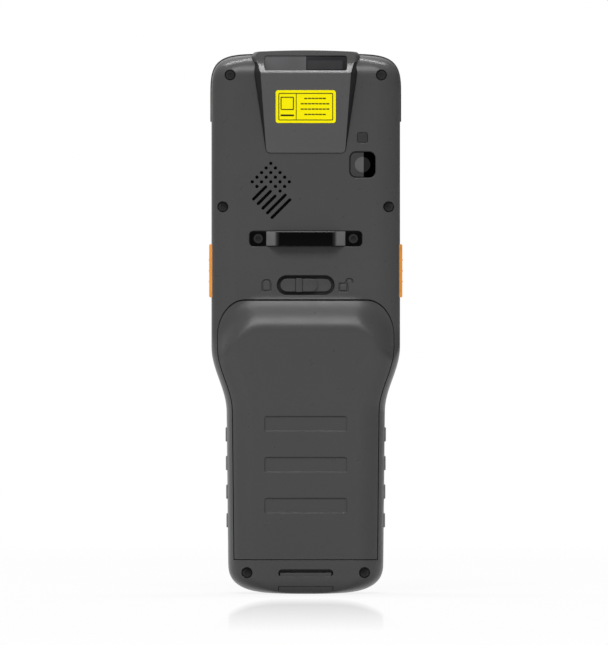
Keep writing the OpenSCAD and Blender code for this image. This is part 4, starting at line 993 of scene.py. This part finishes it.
def scanOutline(rise, shrink, lean=0.0):
    # rounded trapezoid at a height above the shell, leaning in where the crown falls away
    s = scanSet
    inset = s["bevel"] * rise / s["rise"] + shrink
    low, top, small, large = s["low"] + shrink, s["top"] - shrink, s["cornerLow"], s["cornerTop"]
    turn = math.atan2(s["wide"] - s["narrow"], s["top"] - s["low"])
    x = scanHalf(low + small) - inset - small / math.cos(turn)
    right = arc(x, low + small, small, small, -90, -math.degrees(turn), 6)
    right += [(scanHalf(z) - inset, z) for z in range(202, 208)]
    z = top - s["arch"] - large
    x = scanHalf(z) - inset - large / math.cos(turn)
    right += arc(x, z, large, large, -math.degrees(turn), 90, 8)
    right += [(x * (1 - i / 6), top - s["arch"] * (1 - i / 6) ** 2) for i in range(1, 7)]
    start, run = s["crownFall"]
    falls = [(1 - math.cos(math.pi * min(1, max(0, pz - start) / run))) / 2 for px, pz in right]
    right = [(px - lean * fall * min(1, px / 12), pz) for (px, pz), fall in zip(right, falls)]
    return right + [(-px, pz) for px, pz in right[-2::-1]]


def scanBlock(name, shrink, rootY=-5.0):
    # bevelled wedge, trimmed by its side profile: sloping face, ramp under the window and upright lip
    s = scanSet
    levels = ((4, 0, 0), (-5, 0, 0), (back, 0, 1.6), (back - 6.5, 6.5, 2.0))
    block = stack(name, [[(x, y, z) for x, z in scanOutline(rise, shrink, lean)] for y, rise, lean in levels])
    low, top, faceY = s["low"] - 1, s["top"] + 1, s["faceY"] + shrink
    slope = [(back - scanRise(z) + shrink, z) for z in (low, 171.6, 172, 172.5, 173, 173.6, 174.3, 175.6)]
    profile = [(rootY, low)] + slope + [(back - s["rise"] + shrink, s["faceZ"] - shrink * 0.4)]
    profile += [(faceY, s["lipZ"] - shrink * 0.5), (faceY, top), (1.8, top), (1.8, 205.5), (rootY, 198.8)]
    side = stack("profile", [[(x, y, z) for y, z in profile] for x in (-30, 30)])
    return carve(block, side, "INTERSECT")


def windowPlate(name, width, height, radius, levels, x=0.0, y=0.0):
    # levels run outwards from the pane, which leans back by its tilt
    up = Vector((0, math.cos(faceTilt), math.sin(faceTilt)))
    out = Vector((0, -math.sin(faceTilt), math.cos(faceTilt)))
    base = Vector((0, *scanSet["pane"]))
    rings = [[tuple(base + Vector((px, 0, 0)) + up * py + out * z)
              for px, py in roundedOutline(width, height, radius, grow, 6, x, y)] for z, grow in levels]
    return stack(name, rings)


def makeScanHead():
    s = scanSet
    width, height, corner = s["window"]
    slant = height / math.sin(faceTilt)
    middle = s["pane"][1]
    cover = scanBlock("scanCover", 0.0)
    bevelRims(cover, s["rim"], 50.0)
    carve(cover, scanBlock("hollow", s["wall"], -3.0))
    carve(cover, slab("windowHole", roundedOutline(width, height, corner, 0, 6, 0, middle), -20, -6.2))
    paint(cover, "hump", "humpSide")
    # the side bevels below the lip get the second, much darker finish: painted shade, as if they lay in a
    # shadowed gap
    band, flankY, flankTop = s["flank"]
    for face in cover.data.polygons:
        x, y, z = face.center
        flank = abs(face.normal.x) > 0.7 and abs(x) > (scanHalf(z / mm) - band) * mm
        face.material_index = int(flank and y < flankY * mm and z < flankTop * mm)
    outline = roundedOutline(width, height, corner, s["collar"], 6, 0, middle)
    collar = slab("collar", outline, -20, -8.0)
    hole = roundedOutline(width + 0.1, height + 0.1, corner, 0, 6, 0, middle)
    carve(collar, slab("collarHole", hole, -21, -6))
    carve(collar, scanBlock("collarTrim", 0.4), "INTERSECT")
    cover = joinPieces("scanCover", [cover, paint(collar, "hump")])
    finishPiece(cover, "terminal", None, ["scanner_cover"], 28)
    pane = windowPlate("scanWindow", width + 1.0, slant + 1.0, corner, [(-1.2, 0), (-0.05, 0), (0, -0.1)])
    # the pale left half and the dimmer inset on the right are painted reflections, laid over the dark pane
    film = [(-0.02, 0), (0.02, 0)]
    pale = windowPlate("film", width / 2, slant, 0.3, film, -width / 4 + 0.15)
    dull = windowPlate("film", width / 2 - 2.4, slant - 2.6, 0.3, film, width / 4 - 0.6, -0.6)
    panes = [paint(pane, "windowDark"), paint(pale, "windowPale"), paint(dull, "windowMiddle")]
    finishPiece(joinPieces("scanWindow", panes), "terminal", None, ["scan_window"])


labelSet = {"printLow": 0.1, "printTop": 0.165, "mark": (-7.2, 1.3), "rowStep": 1.42, "rowMiddle": 3.6,
            "rows": [(6, 3.25), (8, 1.15), (8, -0.95), (6, -3.05)], "stroke": (1.18, 0.04, 0.5)}


def makeLabel():
    s = labelSet
    width, height, middle = scanSet["label"]
    tilt = math.atan2(scanSet["rise"] - scanSet["levelRise"], scanSet["faceZ"] - slopeStart)
    heights = (s["printLow"], s["printTop"])

    def lay(points, y):
        # flat label points, X across and Z up, onto the cover's sloping face at a height above it
        base = Vector((0, back - scanRise(middle), middle))
        up = Vector((0, -math.sin(tilt), math.cos(tilt)))
        out = Vector((0, -math.cos(tilt), -math.sin(tilt)))
        return [tuple(base + Vector((x, 0, 0)) + up * z + out * y) for x, z in points]

    def strip(outer, inner):
        rings = [lay(outer, y) for y in heights] + [lay(inner, y) for y in heights[::-1]]
        return paint(loopPiece("strip", rings), "ink")

    def printed(outline):
        return paint(stack("bar", [lay(outline, y) for y in heights]), "ink")

    sheet = ((0.0, 0), (0.10, 0), (0.15, -0.06))
    label = stack("label", [lay(roundedOutline(width, height, 1.0, grow), y) for y, grow in sheet])
    finishPiece(label, "terminal", "label", ["asset_label"])
    x, z = s["mark"]
    border = strip(roundedOutline(width - 2.1, height - 2.1, 0.5),
                   roundedOutline(width - 2.8, height - 2.8, 0.3))
    divider = printed(roundedOutline(0.3, height - 2.2, 0.02, 0, 1, -3.7, 0))
    square = strip(roundedOutline(5.2, 5.2, 0.4, 0, 6, x, z), roundedOutline(4.4, 4.4, 0.2, 0, 6, x, z))
    bar = printed(roundedOutline(5.2, 0.7, 0.1, 0, 2, x, -3.4))
    spots = [(s["rowMiddle"] + s["rowStep"] * (i - (count - 1) / 2), row)
             for count, row in s["rows"] for i in range(count)]
    size = tuple(part * mm for part in s["stroke"])
    tree = blockTree("printedRules", (2, 2, 2), "ink")
    rules = growPiece("rules", tree, lay(spots, 0.15), size=size, tilt=tilt)
    printing = joinPieces("labelPrint", [border, divider, square, bar, rules])
    finishPiece(printing, "terminal", None)


makeScanHead()
makeLabel()
print("scan head ready")
makeRearShell()
print("rear shell ready")


coverSet = {"gap": 0.3, "wall": 1.8, "face": -14.75,
            "pockets": [66.2, 50.3, 34.4], "pocket": (31.8, 5.6, 0.5)}


def makeBatteryCover():
    s = coverSet
    cover = bodySolid("batteryCover", 0.0, 2, 14, 12, 4)
    carve(cover, slab("outline", coverOutline(s["gap"]), -20, rebateY - 0.1), "INTERSECT")
    inside = bodySolid("inside", -s["wall"])
    carve(inside, slab("room", coverOutline(s["gap"] + s["wall"]), -20, rebateY + 1), "INTERSECT")
    for x in (-14, 14):
        carve(inside, box("post", (x - 0.8, -16, 26), (x + 0.8, -11.8, 92)))
    carve(cover, inside)
    length, height, depth = s["pocket"]
    levels = [(-16, 0.25), (s["face"], 0.25), (s["face"] + 0.3, 0.0), (s["face"] + depth, -0.2)]
    for z in s["pockets"]:
        carve(cover, roundedPlate("pocket", length, height, 0.8, 0, z, levels, 5))
    carve(cover, box("tongueWay", (-8.1, -6.95, coverTop - 4), (7.9, rebateY + 1, coverTop + 1)))
    for x in (-rearShellSet["hook"], rearShellSet["hook"]):
        carve(cover, box("hook", (x - 4, -7.15, coverLow - 2), (x + 4, -5.95, coverLow + 1.4)), "UNION")
    finishPiece(cover, "battery_pack", "cover", ["battery_cover"], 32, surfaceSource)


makeBatteryCover()
print("battery cover ready")


frontSet = {"lens": (60.0, 98.0, 153.5, 5.0), "keyTop": 14.72, "receiver": (9, 1.2, 206.4), "bandLow": 184}


def digitSpot(column, row):
    return (17.0 * (column - 1), 20.0 + 11.0 * (3 - row), 13.4, 7.6, 1.6)


keySpots = {  # x, z, width, height and corner
    "scan_key": (0, 83.0, 21.0, 13.0, 5.0), "menu_key": (-21.0, 83.0, 11.0, 8.0, 3.0),
    "back_key": (21.0, 83.0, 11.0, 8.0, 3.0), "power_key": (-19.5, 73.9, 7.0, 4.4, 2.0),
    "clear_key": digitSpot(0, 3), "enter_key": digitSpot(2, 3),
}
for number in range(1, 5):
    keySpots["function_key_%d" % number] = (13 * (number - 2.5), 65.5, 10.6, 6.6, 1.6)
for number in range(10):
    column, row = ((number - 1) % 3, (number - 1) // 3) if number else (1, 3)
    keySpots["digit_key_%d" % number] = digitSpot(column, row)


def makeFrontShell():
    s = frontSet
    shell = bodySolid("frontShell", 0.0, 2, 14, 4, 8)
    carve(shell, box("half", (-60, split, -5), (60, 40, 230)), "INTERSECT")
    inside = bodySolid("inside", -bodyShape["wall"])
    width, height, z, corner = s["lens"]
    lensFrame = slab("lensFrame", roundedOutline(width + 4, height + 4, corner, 0, 8, 0, z), 9.05, front)
    carveAll(inside, portBlock(), lensFrame)
    carve(shell, inside)
    carve(shell, slab("screenHole", roundedOutline(54, 91, 1, 0, 6, 0, z), 5, front + 1))
    levels = [(front - 1.2, 0.15), (front - 0.4, 0.15), (front + 0.02, 0.5), (front + 1, 0.5)]
    carve(shell, roundedPlate("lensSeat", width, height, corner, 0, z, levels, 8))
    carve(shell, slab("panelSeat", roundedOutline(56.2, 93.2, 1, 0, 4, 0, z), 8, 11.75))
    levels = [(10, 0.35), (front - 0.35, 0.35), (front + 0.02, 0.7), (front + 1, 0.7)]
    for x, z, w, h, r in keySpots.values():
        carve(shell, roundedPlate("keyHole", w, h, r, x, z, levels))
    levels = [(front - 0.8, 0), (front - 0.2, 0), (front + 0.02, 0.2), (front + 1, 0.2)]
    length, height, z = s["receiver"]
    carve(shell, stadiumPlate("receiver", length, height, 0, z, levels, 8))
    band = bodySolid("band", 0.5, 2, 14, 4, 8)
    carve(band, bodySolid("core", -1.0, 2, 14, 4, 4))
    carve(band, box("range", (-60, split, s["bandLow"]), (60, front - 3, 230)), "INTERSECT")
    groove = bodySolid("groove", 0.22, 2, 14, 4, 4)
    carve(groove, box("range", (-60, split - 1, s["bandLow"] - 4), (60, split + 0.8, 230)), "INTERSECT")
    carve(shell, band, "DIFFERENCE", True)
    carve(band, groove)
    portCuts(shell)
    finishPiece(shell, "terminal", "front", ["front_housing"], 32, surfaceSource)
    band.name = "cornerBumper"
    finishPiece(band, "terminal", "bumper", ["corner_bumper"], 32, bumperSource)


makeFrontShell()
print("front shell ready")


screwSet = {"head": 3.4, "sunk": 0.15, "recess": 1.7, "recessDepth": 0.3, "bridgeHead": 3.6,
            "bridgeHeight": 0.8, "bridgeRecess": 1.9, "bridgeDepth": 0.5, "bridgeTop": -8.95}


def screwTree():
    # a cheese head with a six-lobed recess on each point, facing -Y
    tree, given = startTree("screwHeads", [
        ("Head Diameter", 0.0041), ("Head Height", 0.0016), ("Recess Diameter", 0.002),
        ("Recess Depth", 0.0009), ("Lobes", 3)])
    radius = calc(tree, "MULTIPLY", given["Head Diameter"], 0.5)
    head = addNode(tree, "GeometryNodeMeshCylinder", Vertices=48, Radius=radius, Depth=given["Head Height"])
    wide = given["Recess Diameter"]
    size = nodeOut(tree, "ShaderNodeCombineXYZ", wide, calc(tree, "MULTIPLY", wide, 0.3),
                   calc(tree, "MULTIPLY", given["Recess Depth"], 2.0))
    bit = addNode(tree, "GeometryNodeMeshCube", Size=size)
    line = nodeOut(tree, "GeometryNodeMeshLine", Count=given["Lobes"], Offset=(0, 0, 0))
    angle = calc(tree, "MULTIPLY", nodeOut(tree, "GeometryNodeInputIndex"), math.pi / 3)
    star = nodeOut(tree, "GeometryNodeInstanceOnPoints", Points=line, Instance=bit.outputs["Mesh"],
                   Rotation=nodeOut(tree, "ShaderNodeCombineXYZ", Z=angle))
    lift = nodeOut(tree, "ShaderNodeCombineXYZ", Z=calc(tree, "MULTIPLY", given["Head Height"], 0.5))
    recess = nodeOut(tree, "GeometryNodeTransform", Translation=lift,
                     Geometry=nodeOut(tree, "GeometryNodeRealizeInstances", star))
    cut = addNode(tree, "GeometryNodeMeshBoolean", operation="DIFFERENCE", solver="EXACT",
                  Self_Intersection=True, Mesh_1=head.outputs["Mesh"], Mesh_2=recess)
    turned = nodeOut(tree, "GeometryNodeTransform", Geometry=cut.outputs["Mesh"], Rotation=lyingDown)
    copies = nodeOut(tree, "GeometryNodeInstanceOnPoints", Points=given["Geometry"], Instance=turned)
    return endTree(tree, copies, "screw")


def surfaceDepth(x, z, radius):
    # the deepest point of the body's skin round a bore
    hits = [surfaceSource[0].ray_cast(Vector((px * mm, -0.05, pz * mm)), Vector((0, 1, 0)))[0]
            for px, pz in circle(x, z, radius, 8)]
    return max(hit.y for hit in hits) / mm


def makeScrews():
    tree = screwTree()
    s = screwSet
    heads = []
    for x, z, seat in screwSpots:
        top = surfaceDepth(x, z, 2.1) + s["sunk"]
        heads.append(growPiece("head", tree, [(x, (seat + top) / 2, z)], headDiameter=s["head"] * mm,
                               headHeight=(seat - top) * mm, recessDiameter=s["recess"] * mm,
                               recessDepth=s["recessDepth"] * mm))
    finishPiece(joinPieces("housingScrews", heads), "terminal", None, ["housing_screws"], 30)
    across, z = rearShellSet["bridgeScrew"], rearShellSet["bridgeSeat"][2]
    spots = [(side * across, s["bridgeTop"] - s["bridgeHeight"] / 2, z) for side in (-1, 1)]
    heads = growPiece("bridgeScrews", tree, spots, headDiameter=s["bridgeHead"] * mm,
                      headHeight=s["bridgeHeight"] * mm, recessDiameter=s["bridgeRecess"] * mm,
                      recessDepth=s["bridgeDepth"] * mm)
    finishPiece(heads, "terminal", None, ["strap_bridge_screws"], 30)


makeScrews()
print("screws ready")


bridgeSet = {"height": 5.6, "thick": 1.2, "seatY": -7.75, "topY": -12.35, "flat": 10.4, "foot": 15.05,
             "half": 21.8, "bend": 1.2, "edge": 0.25, "corner": 1.5}


def stripTree():
    # a flat metal strip that follows a path with rounded bends
    tree, given = startTree("bentStrip", [
        ("Strip Width", 0.0056), ("Strip Thickness", 0.0012), ("Bend Radius", 0.0012), ("Edge Round", 0.00025)])
    path = nodeOut(tree, "GeometryNodeMeshToCurve", given["Geometry"])
    profile = nodeOut(tree, "GeometryNodeCurvePrimitiveQuadrilateral", Width=given["Strip Thickness"],
                      Height=given["Strip Width"])
    bends = ((6, path, given["Bend Radius"]), (3, profile, given["Edge Round"]))
    bend, rounded = (nodeOut(tree, "GeometryNodeFilletCurve", mode="POLY", Count=count, Curve=curve,
                             Radius=radius) for count, curve, radius in bends)
    sweep = nodeOut(tree, "GeometryNodeCurveToMesh", Fill_Caps=True, Curve=bend, Profile_Curve=rounded)
    return endTree(tree, sweep, "bridge")


def makeStrapBridge():
    s = bridgeSet
    low, high, z = s["seatY"] - s["thick"] / 2, s["topY"] + s["thick"] / 2, rearShellSet["bridgeSeat"][2]
    path = [(-s["half"], low), (-s["foot"], low), (-s["flat"], high)]
    path += [(-x, y) for x, y in path[::-1]]
    edges = [(i, i + 1) for i in range(len(path) - 1)]
    bridge = growPiece("strapBridge", stripTree(), [(x, y, z) for x, y in path], edges,
                       stripWidth=s["height"] * mm, stripThickness=s["thick"] * mm,
                       bendRadius=s["bend"] * mm, edgeRound=s["edge"] * mm)
    outline = roundedOutline(2 * s["half"], s["height"], s["corner"], 0.01, 8, 0, z)
    carve(bridge, slab("trim", outline, -14, -6), "INTERSECT")
    finishPiece(bridge, "terminal", None, ["strap_bridge"], 30)


makeStrapBridge()
print("strap bridge ready")


latchSet = {"knob": (14.4, 5.0, -2.6), "face": -8.4, "rib": (2.4, 0.12), "groove": (0.3, 0.45)}


def makeLatch():
    length, height, x = latchSet["knob"]
    z, face = rearShellSet["latchSlot"][2], latchSet["face"]
    wide, proud = latchSet["rib"]
    gap, deep = latchSet["groove"]
    knob = stadiumPlate("latchKnob", length, height, x, z, softLevels(face, -7.52, 0.15, 4))
    for side in (-1, 1):
        middle = x + side * (wide + gap) / 2
        carve(knob, box("groove", (middle - gap / 2, -9, 117), (middle + gap / 2, face + deep, 123)))
    rib = roundedPlate("rib", wide, height + 0.3, 0.2, x, z, softLevels(face - proud, -7.6, 0.12), 4)
    stem = slab("stem", roundedOutline(6, 1.6, 0.3, 0, 3, x, z), -7.6, -6.65)
    finishPiece(joinPieces("latchKnob", [knob, rib, stem]), "latch", "latch", ["latch_knob"])


makeLatch()
print("latch ready")


cameraSet = {"front": -8.6, "split": 22.53, "eye": 6.0, "flashFront": -8.62}


def makeCameraWindow():
    x, z, size = rearShellSet["camera"]
    s = cameraSet
    levels = softLevels(s["front"], -7.45, 0.1)
    layers = [paint(roundedPlate("pane", size - 0.3, size - 0.3, 2.4, x, z, levels, 8), "cameraDark")]
    # the pale left part of the pane and the pale left half of the lens are painted reflections; the lens's
    # right half stays dark
    reach, radius = size / 2 - 0.35, s["eye"] / 2
    left = softPolygon([(s["split"], z + reach, 0.02), (x - reach, z + reach, 2.2),
                        (x - reach, z - reach, 2.2), (s["split"], z - reach, 0.02)], 8)
    start = math.degrees(math.acos((s["split"] - x) / radius))
    for name, outline, height in (("cameraPale", left, 0.01),
                                  ("lensPale", arc(x, z, radius, radius, start, 360 - start, 24), 0.02),
                                  ("lensDark", arc(x, z, radius, radius, -start, start, 24), 0.02)):
        layers.append(paint(slab("layer", outline, s["front"] + 0.02, s["front"] - height), name))
    finishPiece(joinPieces("cameraWindow", layers), "terminal", None, ["camera_window"])
    x, z, size = rearShellSet["flash"]
    levels = softLevels(s["flashFront"], -6.7, 0.1)
    flash = roundedPlate("flashWindow", size - 0.2, size - 0.2, 0.9, x, z, levels)
    flange = slab("flange", roundedOutline(size + 1.4, size + 1.4, 1.4, 0, 6, x, z), -6.74, -5.95)
    flash = joinPieces("flashWindow", [flash, flange])
    finishPiece(flash, "terminal", "flash", ["flash_window"])


makeCameraWindow()
print("camera ready")


sideSet = {"keyMiddle": 125.7, "keyLength": 20.7, "keyY": -1.75, "keyDeep": 6.4, "keyRoot": 34.55,
           "out": 37.65, "corner": 0.5, "bumpStep": 4.2, "bumpSize": 0.9,
           "padSize": (1.2, 6.0, 5.6), "padRim": 0.4}


def makeSideKeys():
    s = sideSet
    tree = rodTree("keyBumps", "orange")
    low = s["keyY"] - s["keyDeep"] / 2
    # x, grow, and how far the rear edge is cut back
    levels = ((s["keyRoot"], 0.0, 0.0), (35.45, 0.0, 0.0), (35.46, 0.0, 1.1), (36.2, 0.0, 1.15),
              (s["out"] - 0.3, 0.0, 2.1), (s["out"], -0.4, 2.3))
    for name, side in (("left", -1), ("right", 1)):
        rings = [[(side * x, max(s["keyY"] + y, low + slim), s["keyMiddle"] + z)
                  for y, z in roundedOutline(s["keyDeep"], s["keyLength"], s["corner"], grow, 4)]
                 for x, grow, slim in levels]
        key = paint(stack("key", rings), "orange")
        spots = [(side * (s["out"] - 0.25), s["keyY"] + 1.0, s["keyMiddle"] + s["bumpStep"] * i)
                 for i in (-1, 0, 1)]
        bumps = growPiece("bumps", tree, spots, length=(s["keyDeep"] - 3) * mm, diameter=s["bumpSize"] * mm)
        key = joinPieces("sideKey" + name.capitalize(), [key, bumps])
        finishPiece(key, "side_key_%s_body" % name, None, ["side_key_" + name])


def makeGripRibs():
    s, half = sideSet, rearShellSet["ribTall"] / 2
    spots = [(side * (sideHalf(z + half) - 0.1), -0.4, z + half) for side, z in ribSpots]
    size = tuple(part * mm for part in s["padSize"])
    ribs = growPiece("gripRibs", blockTree("gripRibs", (3, 6, 6), "ribs"), spots, size=size)
    bevelRims(ribs, s["padRim"])
    finishPiece(ribs, "terminal", None, ["side_grips"])


makeSideKeys()
makeGripRibs()
print("side keys and ribs ready")


capSet = {"root": 11.2, "edge": 0.75, "round": 0.5, "flange": (0.8, 10.65, 11.65),
          "crown": ((0.7, 0.14), (0.35, 0.22), (0.05, 0.25)),
          "markWidth": 0.5, "lineWidth": 0.6, "digitSize": 5.0}


def keyCap(name, spot):
    x, z, w, h, r = spot
    s, top = capSet, frontSet["keyTop"]
    grow, y0, y1 = s["flange"]
    flange = slab("flange", roundedOutline(w + 2 * grow, h + 2 * grow, r + grow, 0, 6, x, z), y0, y1)
    low, soft = top - s["edge"], s["round"]
    levels = [(s["root"], 0.0), (low, 0.0)]
    levels += [(low + soft * math.sin(t), -soft * (1 - math.cos(t))) for t in quarter(3)[1:]]
    rings = [[(px, y, pz) for px, pz in roundedOutline(w, h, r, g, 6, x, z)] for y, g in levels]
    for share, rise in s["crown"]:
        y = low + soft + rise
        rings.append([(x + (px - x) * share, y, z + (pz - z) * share) for px, rimY, pz in rings[4]])
    return joinPieces(name, [stack(name, rings), flange])


def textMesh(words, x, z):
    curve = bpy.data.curves.new("legend", "FONT")
    curve.body = words
    curve.size = capSet["digitSize"] * mm
    curve.align_x = "CENTER"
    curve.align_y = "CENTER"
    curve.extrude = 0.03 * mm
    text = newObject("legend", curve)
    mesh = plainMesh(text)
    bpy.data.objects.remove(text)
    for vertex in mesh.vertices:
        px, py, pz = vertex.co
        vertex.co = (x * mm - px, frontSet["keyTop"] * mm + pz, z * mm + py)
    return paint(newObject("legend", mesh), "legend")


def strokePath(points, width):
    # flat band round an open path in X and Z
    left, right = [], []
    for i, (x, z) in enumerate(points):
        ax, az = points[max(0, i - 1)]
        bx, bz = points[min(len(points) - 1, i + 1)]
        length = math.hypot(bx - ax, bz - az)
        nx, nz = -(bz - az) / length * width / 2, (bx - ax) / length * width / 2
        left.append((x + nx, z + nz))
        right.append((x - nx, z - nz))
    return left + right[::-1]


def barMark(strokes, x, z, width):
    y = frontSet["keyTop"]
    bands = [strokePath([(x + px, z + pz) for px, pz in stroke], width) for stroke in strokes]
    return [paint(slab("legend", band, y - 0.03, y + 0.03), "legend") for band in bands]


keyFinish = {
    "scan_key": ("orange", "key_orange"), "clear_key": ("orange", "key_orange"),
    "menu_key": ("keyGreen", "key_green"), "enter_key": ("keyBlue", "key_blue"),
    "back_key": ("keyRed", "key_red"), "power_key": ("keyRed", "key_red"),
}
keyMarks = {
    "menu_key": [[(-1.6, z), (1.6, z)] for z in (1.0, 0, -1.0)],
    "back_key": [[(-1.4, 0.0), end] for end in ((1.4, 0.0), (-0.3, 1.0), (-0.3, -1.0))],
    "power_key": [arc(0, 0, 1.0, 1.0, 120, 420, 16), [(0, 0.2), (0, 1.3)]],
    "clear_key": [[(-1.0, -1.0), (1.0, 1.0)], [(-1.0, 1.0), (1.0, -1.0)]],
    "enter_key": [[(1.4, 1.2), (1.4, 0.0), (-1.2, 0.0)]] + [[(-1.2, 0.0), (-0.4, z)] for z in (0.8, -0.8)],
    "scan_key": [[(x, -2.0), (x, 2.0)] for x in (-3, -2.2, -0.9, 0.3, 1.1, 2.4, 3)],
}
digitLegends = "0321654987"  # by node number: the columns run 1 2 3 from the front


def makeKeys():
    for node, spot in keySpots.items():
        x, z = spot[:2]
        name = "".join(part.capitalize() if i else part for i, part in enumerate(node.split("_")))
        if node.startswith("digit"):
            material, slot = "keyDark", "key_dark"
            marks = [textMesh(digitLegends[int(node[-1])], x, z)]
        elif node.startswith("function"):
            material, slot = "keyGrey", "key_grey"
            marks = barMark([[(-2.2, 0), (2.2, 0)]], x, z, capSet["lineWidth"])
        else:
            material, slot = keyFinish[node]
            strokes = [[(-px, pz) for px, pz in stroke] for stroke in keyMarks[node]]
            marks = barMark(strokes, x, z, capSet["markWidth"])
        cap = joinPieces(name, [paint(keyCap(name, spot), material)] + marks)
        finishPiece(cap, node + "_body", None, [node])


def makeScreen():
    width, height, z, corner = frontSet["lens"]
    rim, face = 0.3, 13.7
    levels = [(12.55, 0.0)] + [(face - rim * (1 - math.sin(t)), -rim * (1 - math.cos(t))) for t in quarter(4)]
    glass = paint(roundedPlate("glass", width, height, corner - 0.2, 0, z, levels, 8), "lens")
    active = slab("active", roundedOutline(53, 88, 0.6, 0, 4, 0, z), face - 0.01, face + 0.005)
    glass = joinPieces("touchLens", [glass, paint(active, "screen")])
    finishPiece(glass, "terminal", None, ["touch_lens"])


makeKeys()
makeScreen()
print("screen and keypad ready")


flapSet = {"levels": ((0.3, -0.35), (0.4, -0.1), (0.6, 0.0), (1.5, 0.0)),
           "gripLevels": ((0.12, -0.2), (0.3, 0.0), (0.5, 0.0)), "grip": (9, 1.4, 6.0)}


def makePortFlap():
    length, height, y = flapSet["grip"]
    flap = stack("flap", [[(px, py, z) for px, py in flapOutline(grow)] for z, grow in flapSet["levels"]])
    grip = stack("grip", [[(px, py, z) for px, py in stadiumOutline(length, height, grow, 10, 0, y)]
                          for z, grow in flapSet["gripLevels"]])
    finishPiece(joinPieces("portFlap", [flap, grip]), "port_flap_body", "flap", ["port_flap"])


makePortFlap()
print("port flap ready")


carried = {
    "housing_seal": "seal", "scan_engine": "engine", "scan_bracket": "steel", "camera_module": "engine",
    "loudspeaker": "inner", "speaker_mesh": "mesh", "latch_slide": "latch", "latch_detent": "steel",
    "battery_seal": "seal", "battery_cell": "wrap", "battery_contacts": "gold", "side_switches": "switch",
    "lens_gasket": "seal", "display_panel": "screen", "mid_frame": "steel", "main_board": "board",
    "shield_cans": "can", "keypad_membrane": "membrane", "usb_socket": "can", "dock_contacts": "gold",
    "vibration_motor": "can",
}
for node, material in carried.items():
    paint(cadNodes[node], material)
print("carried parts painted:", len(carried))
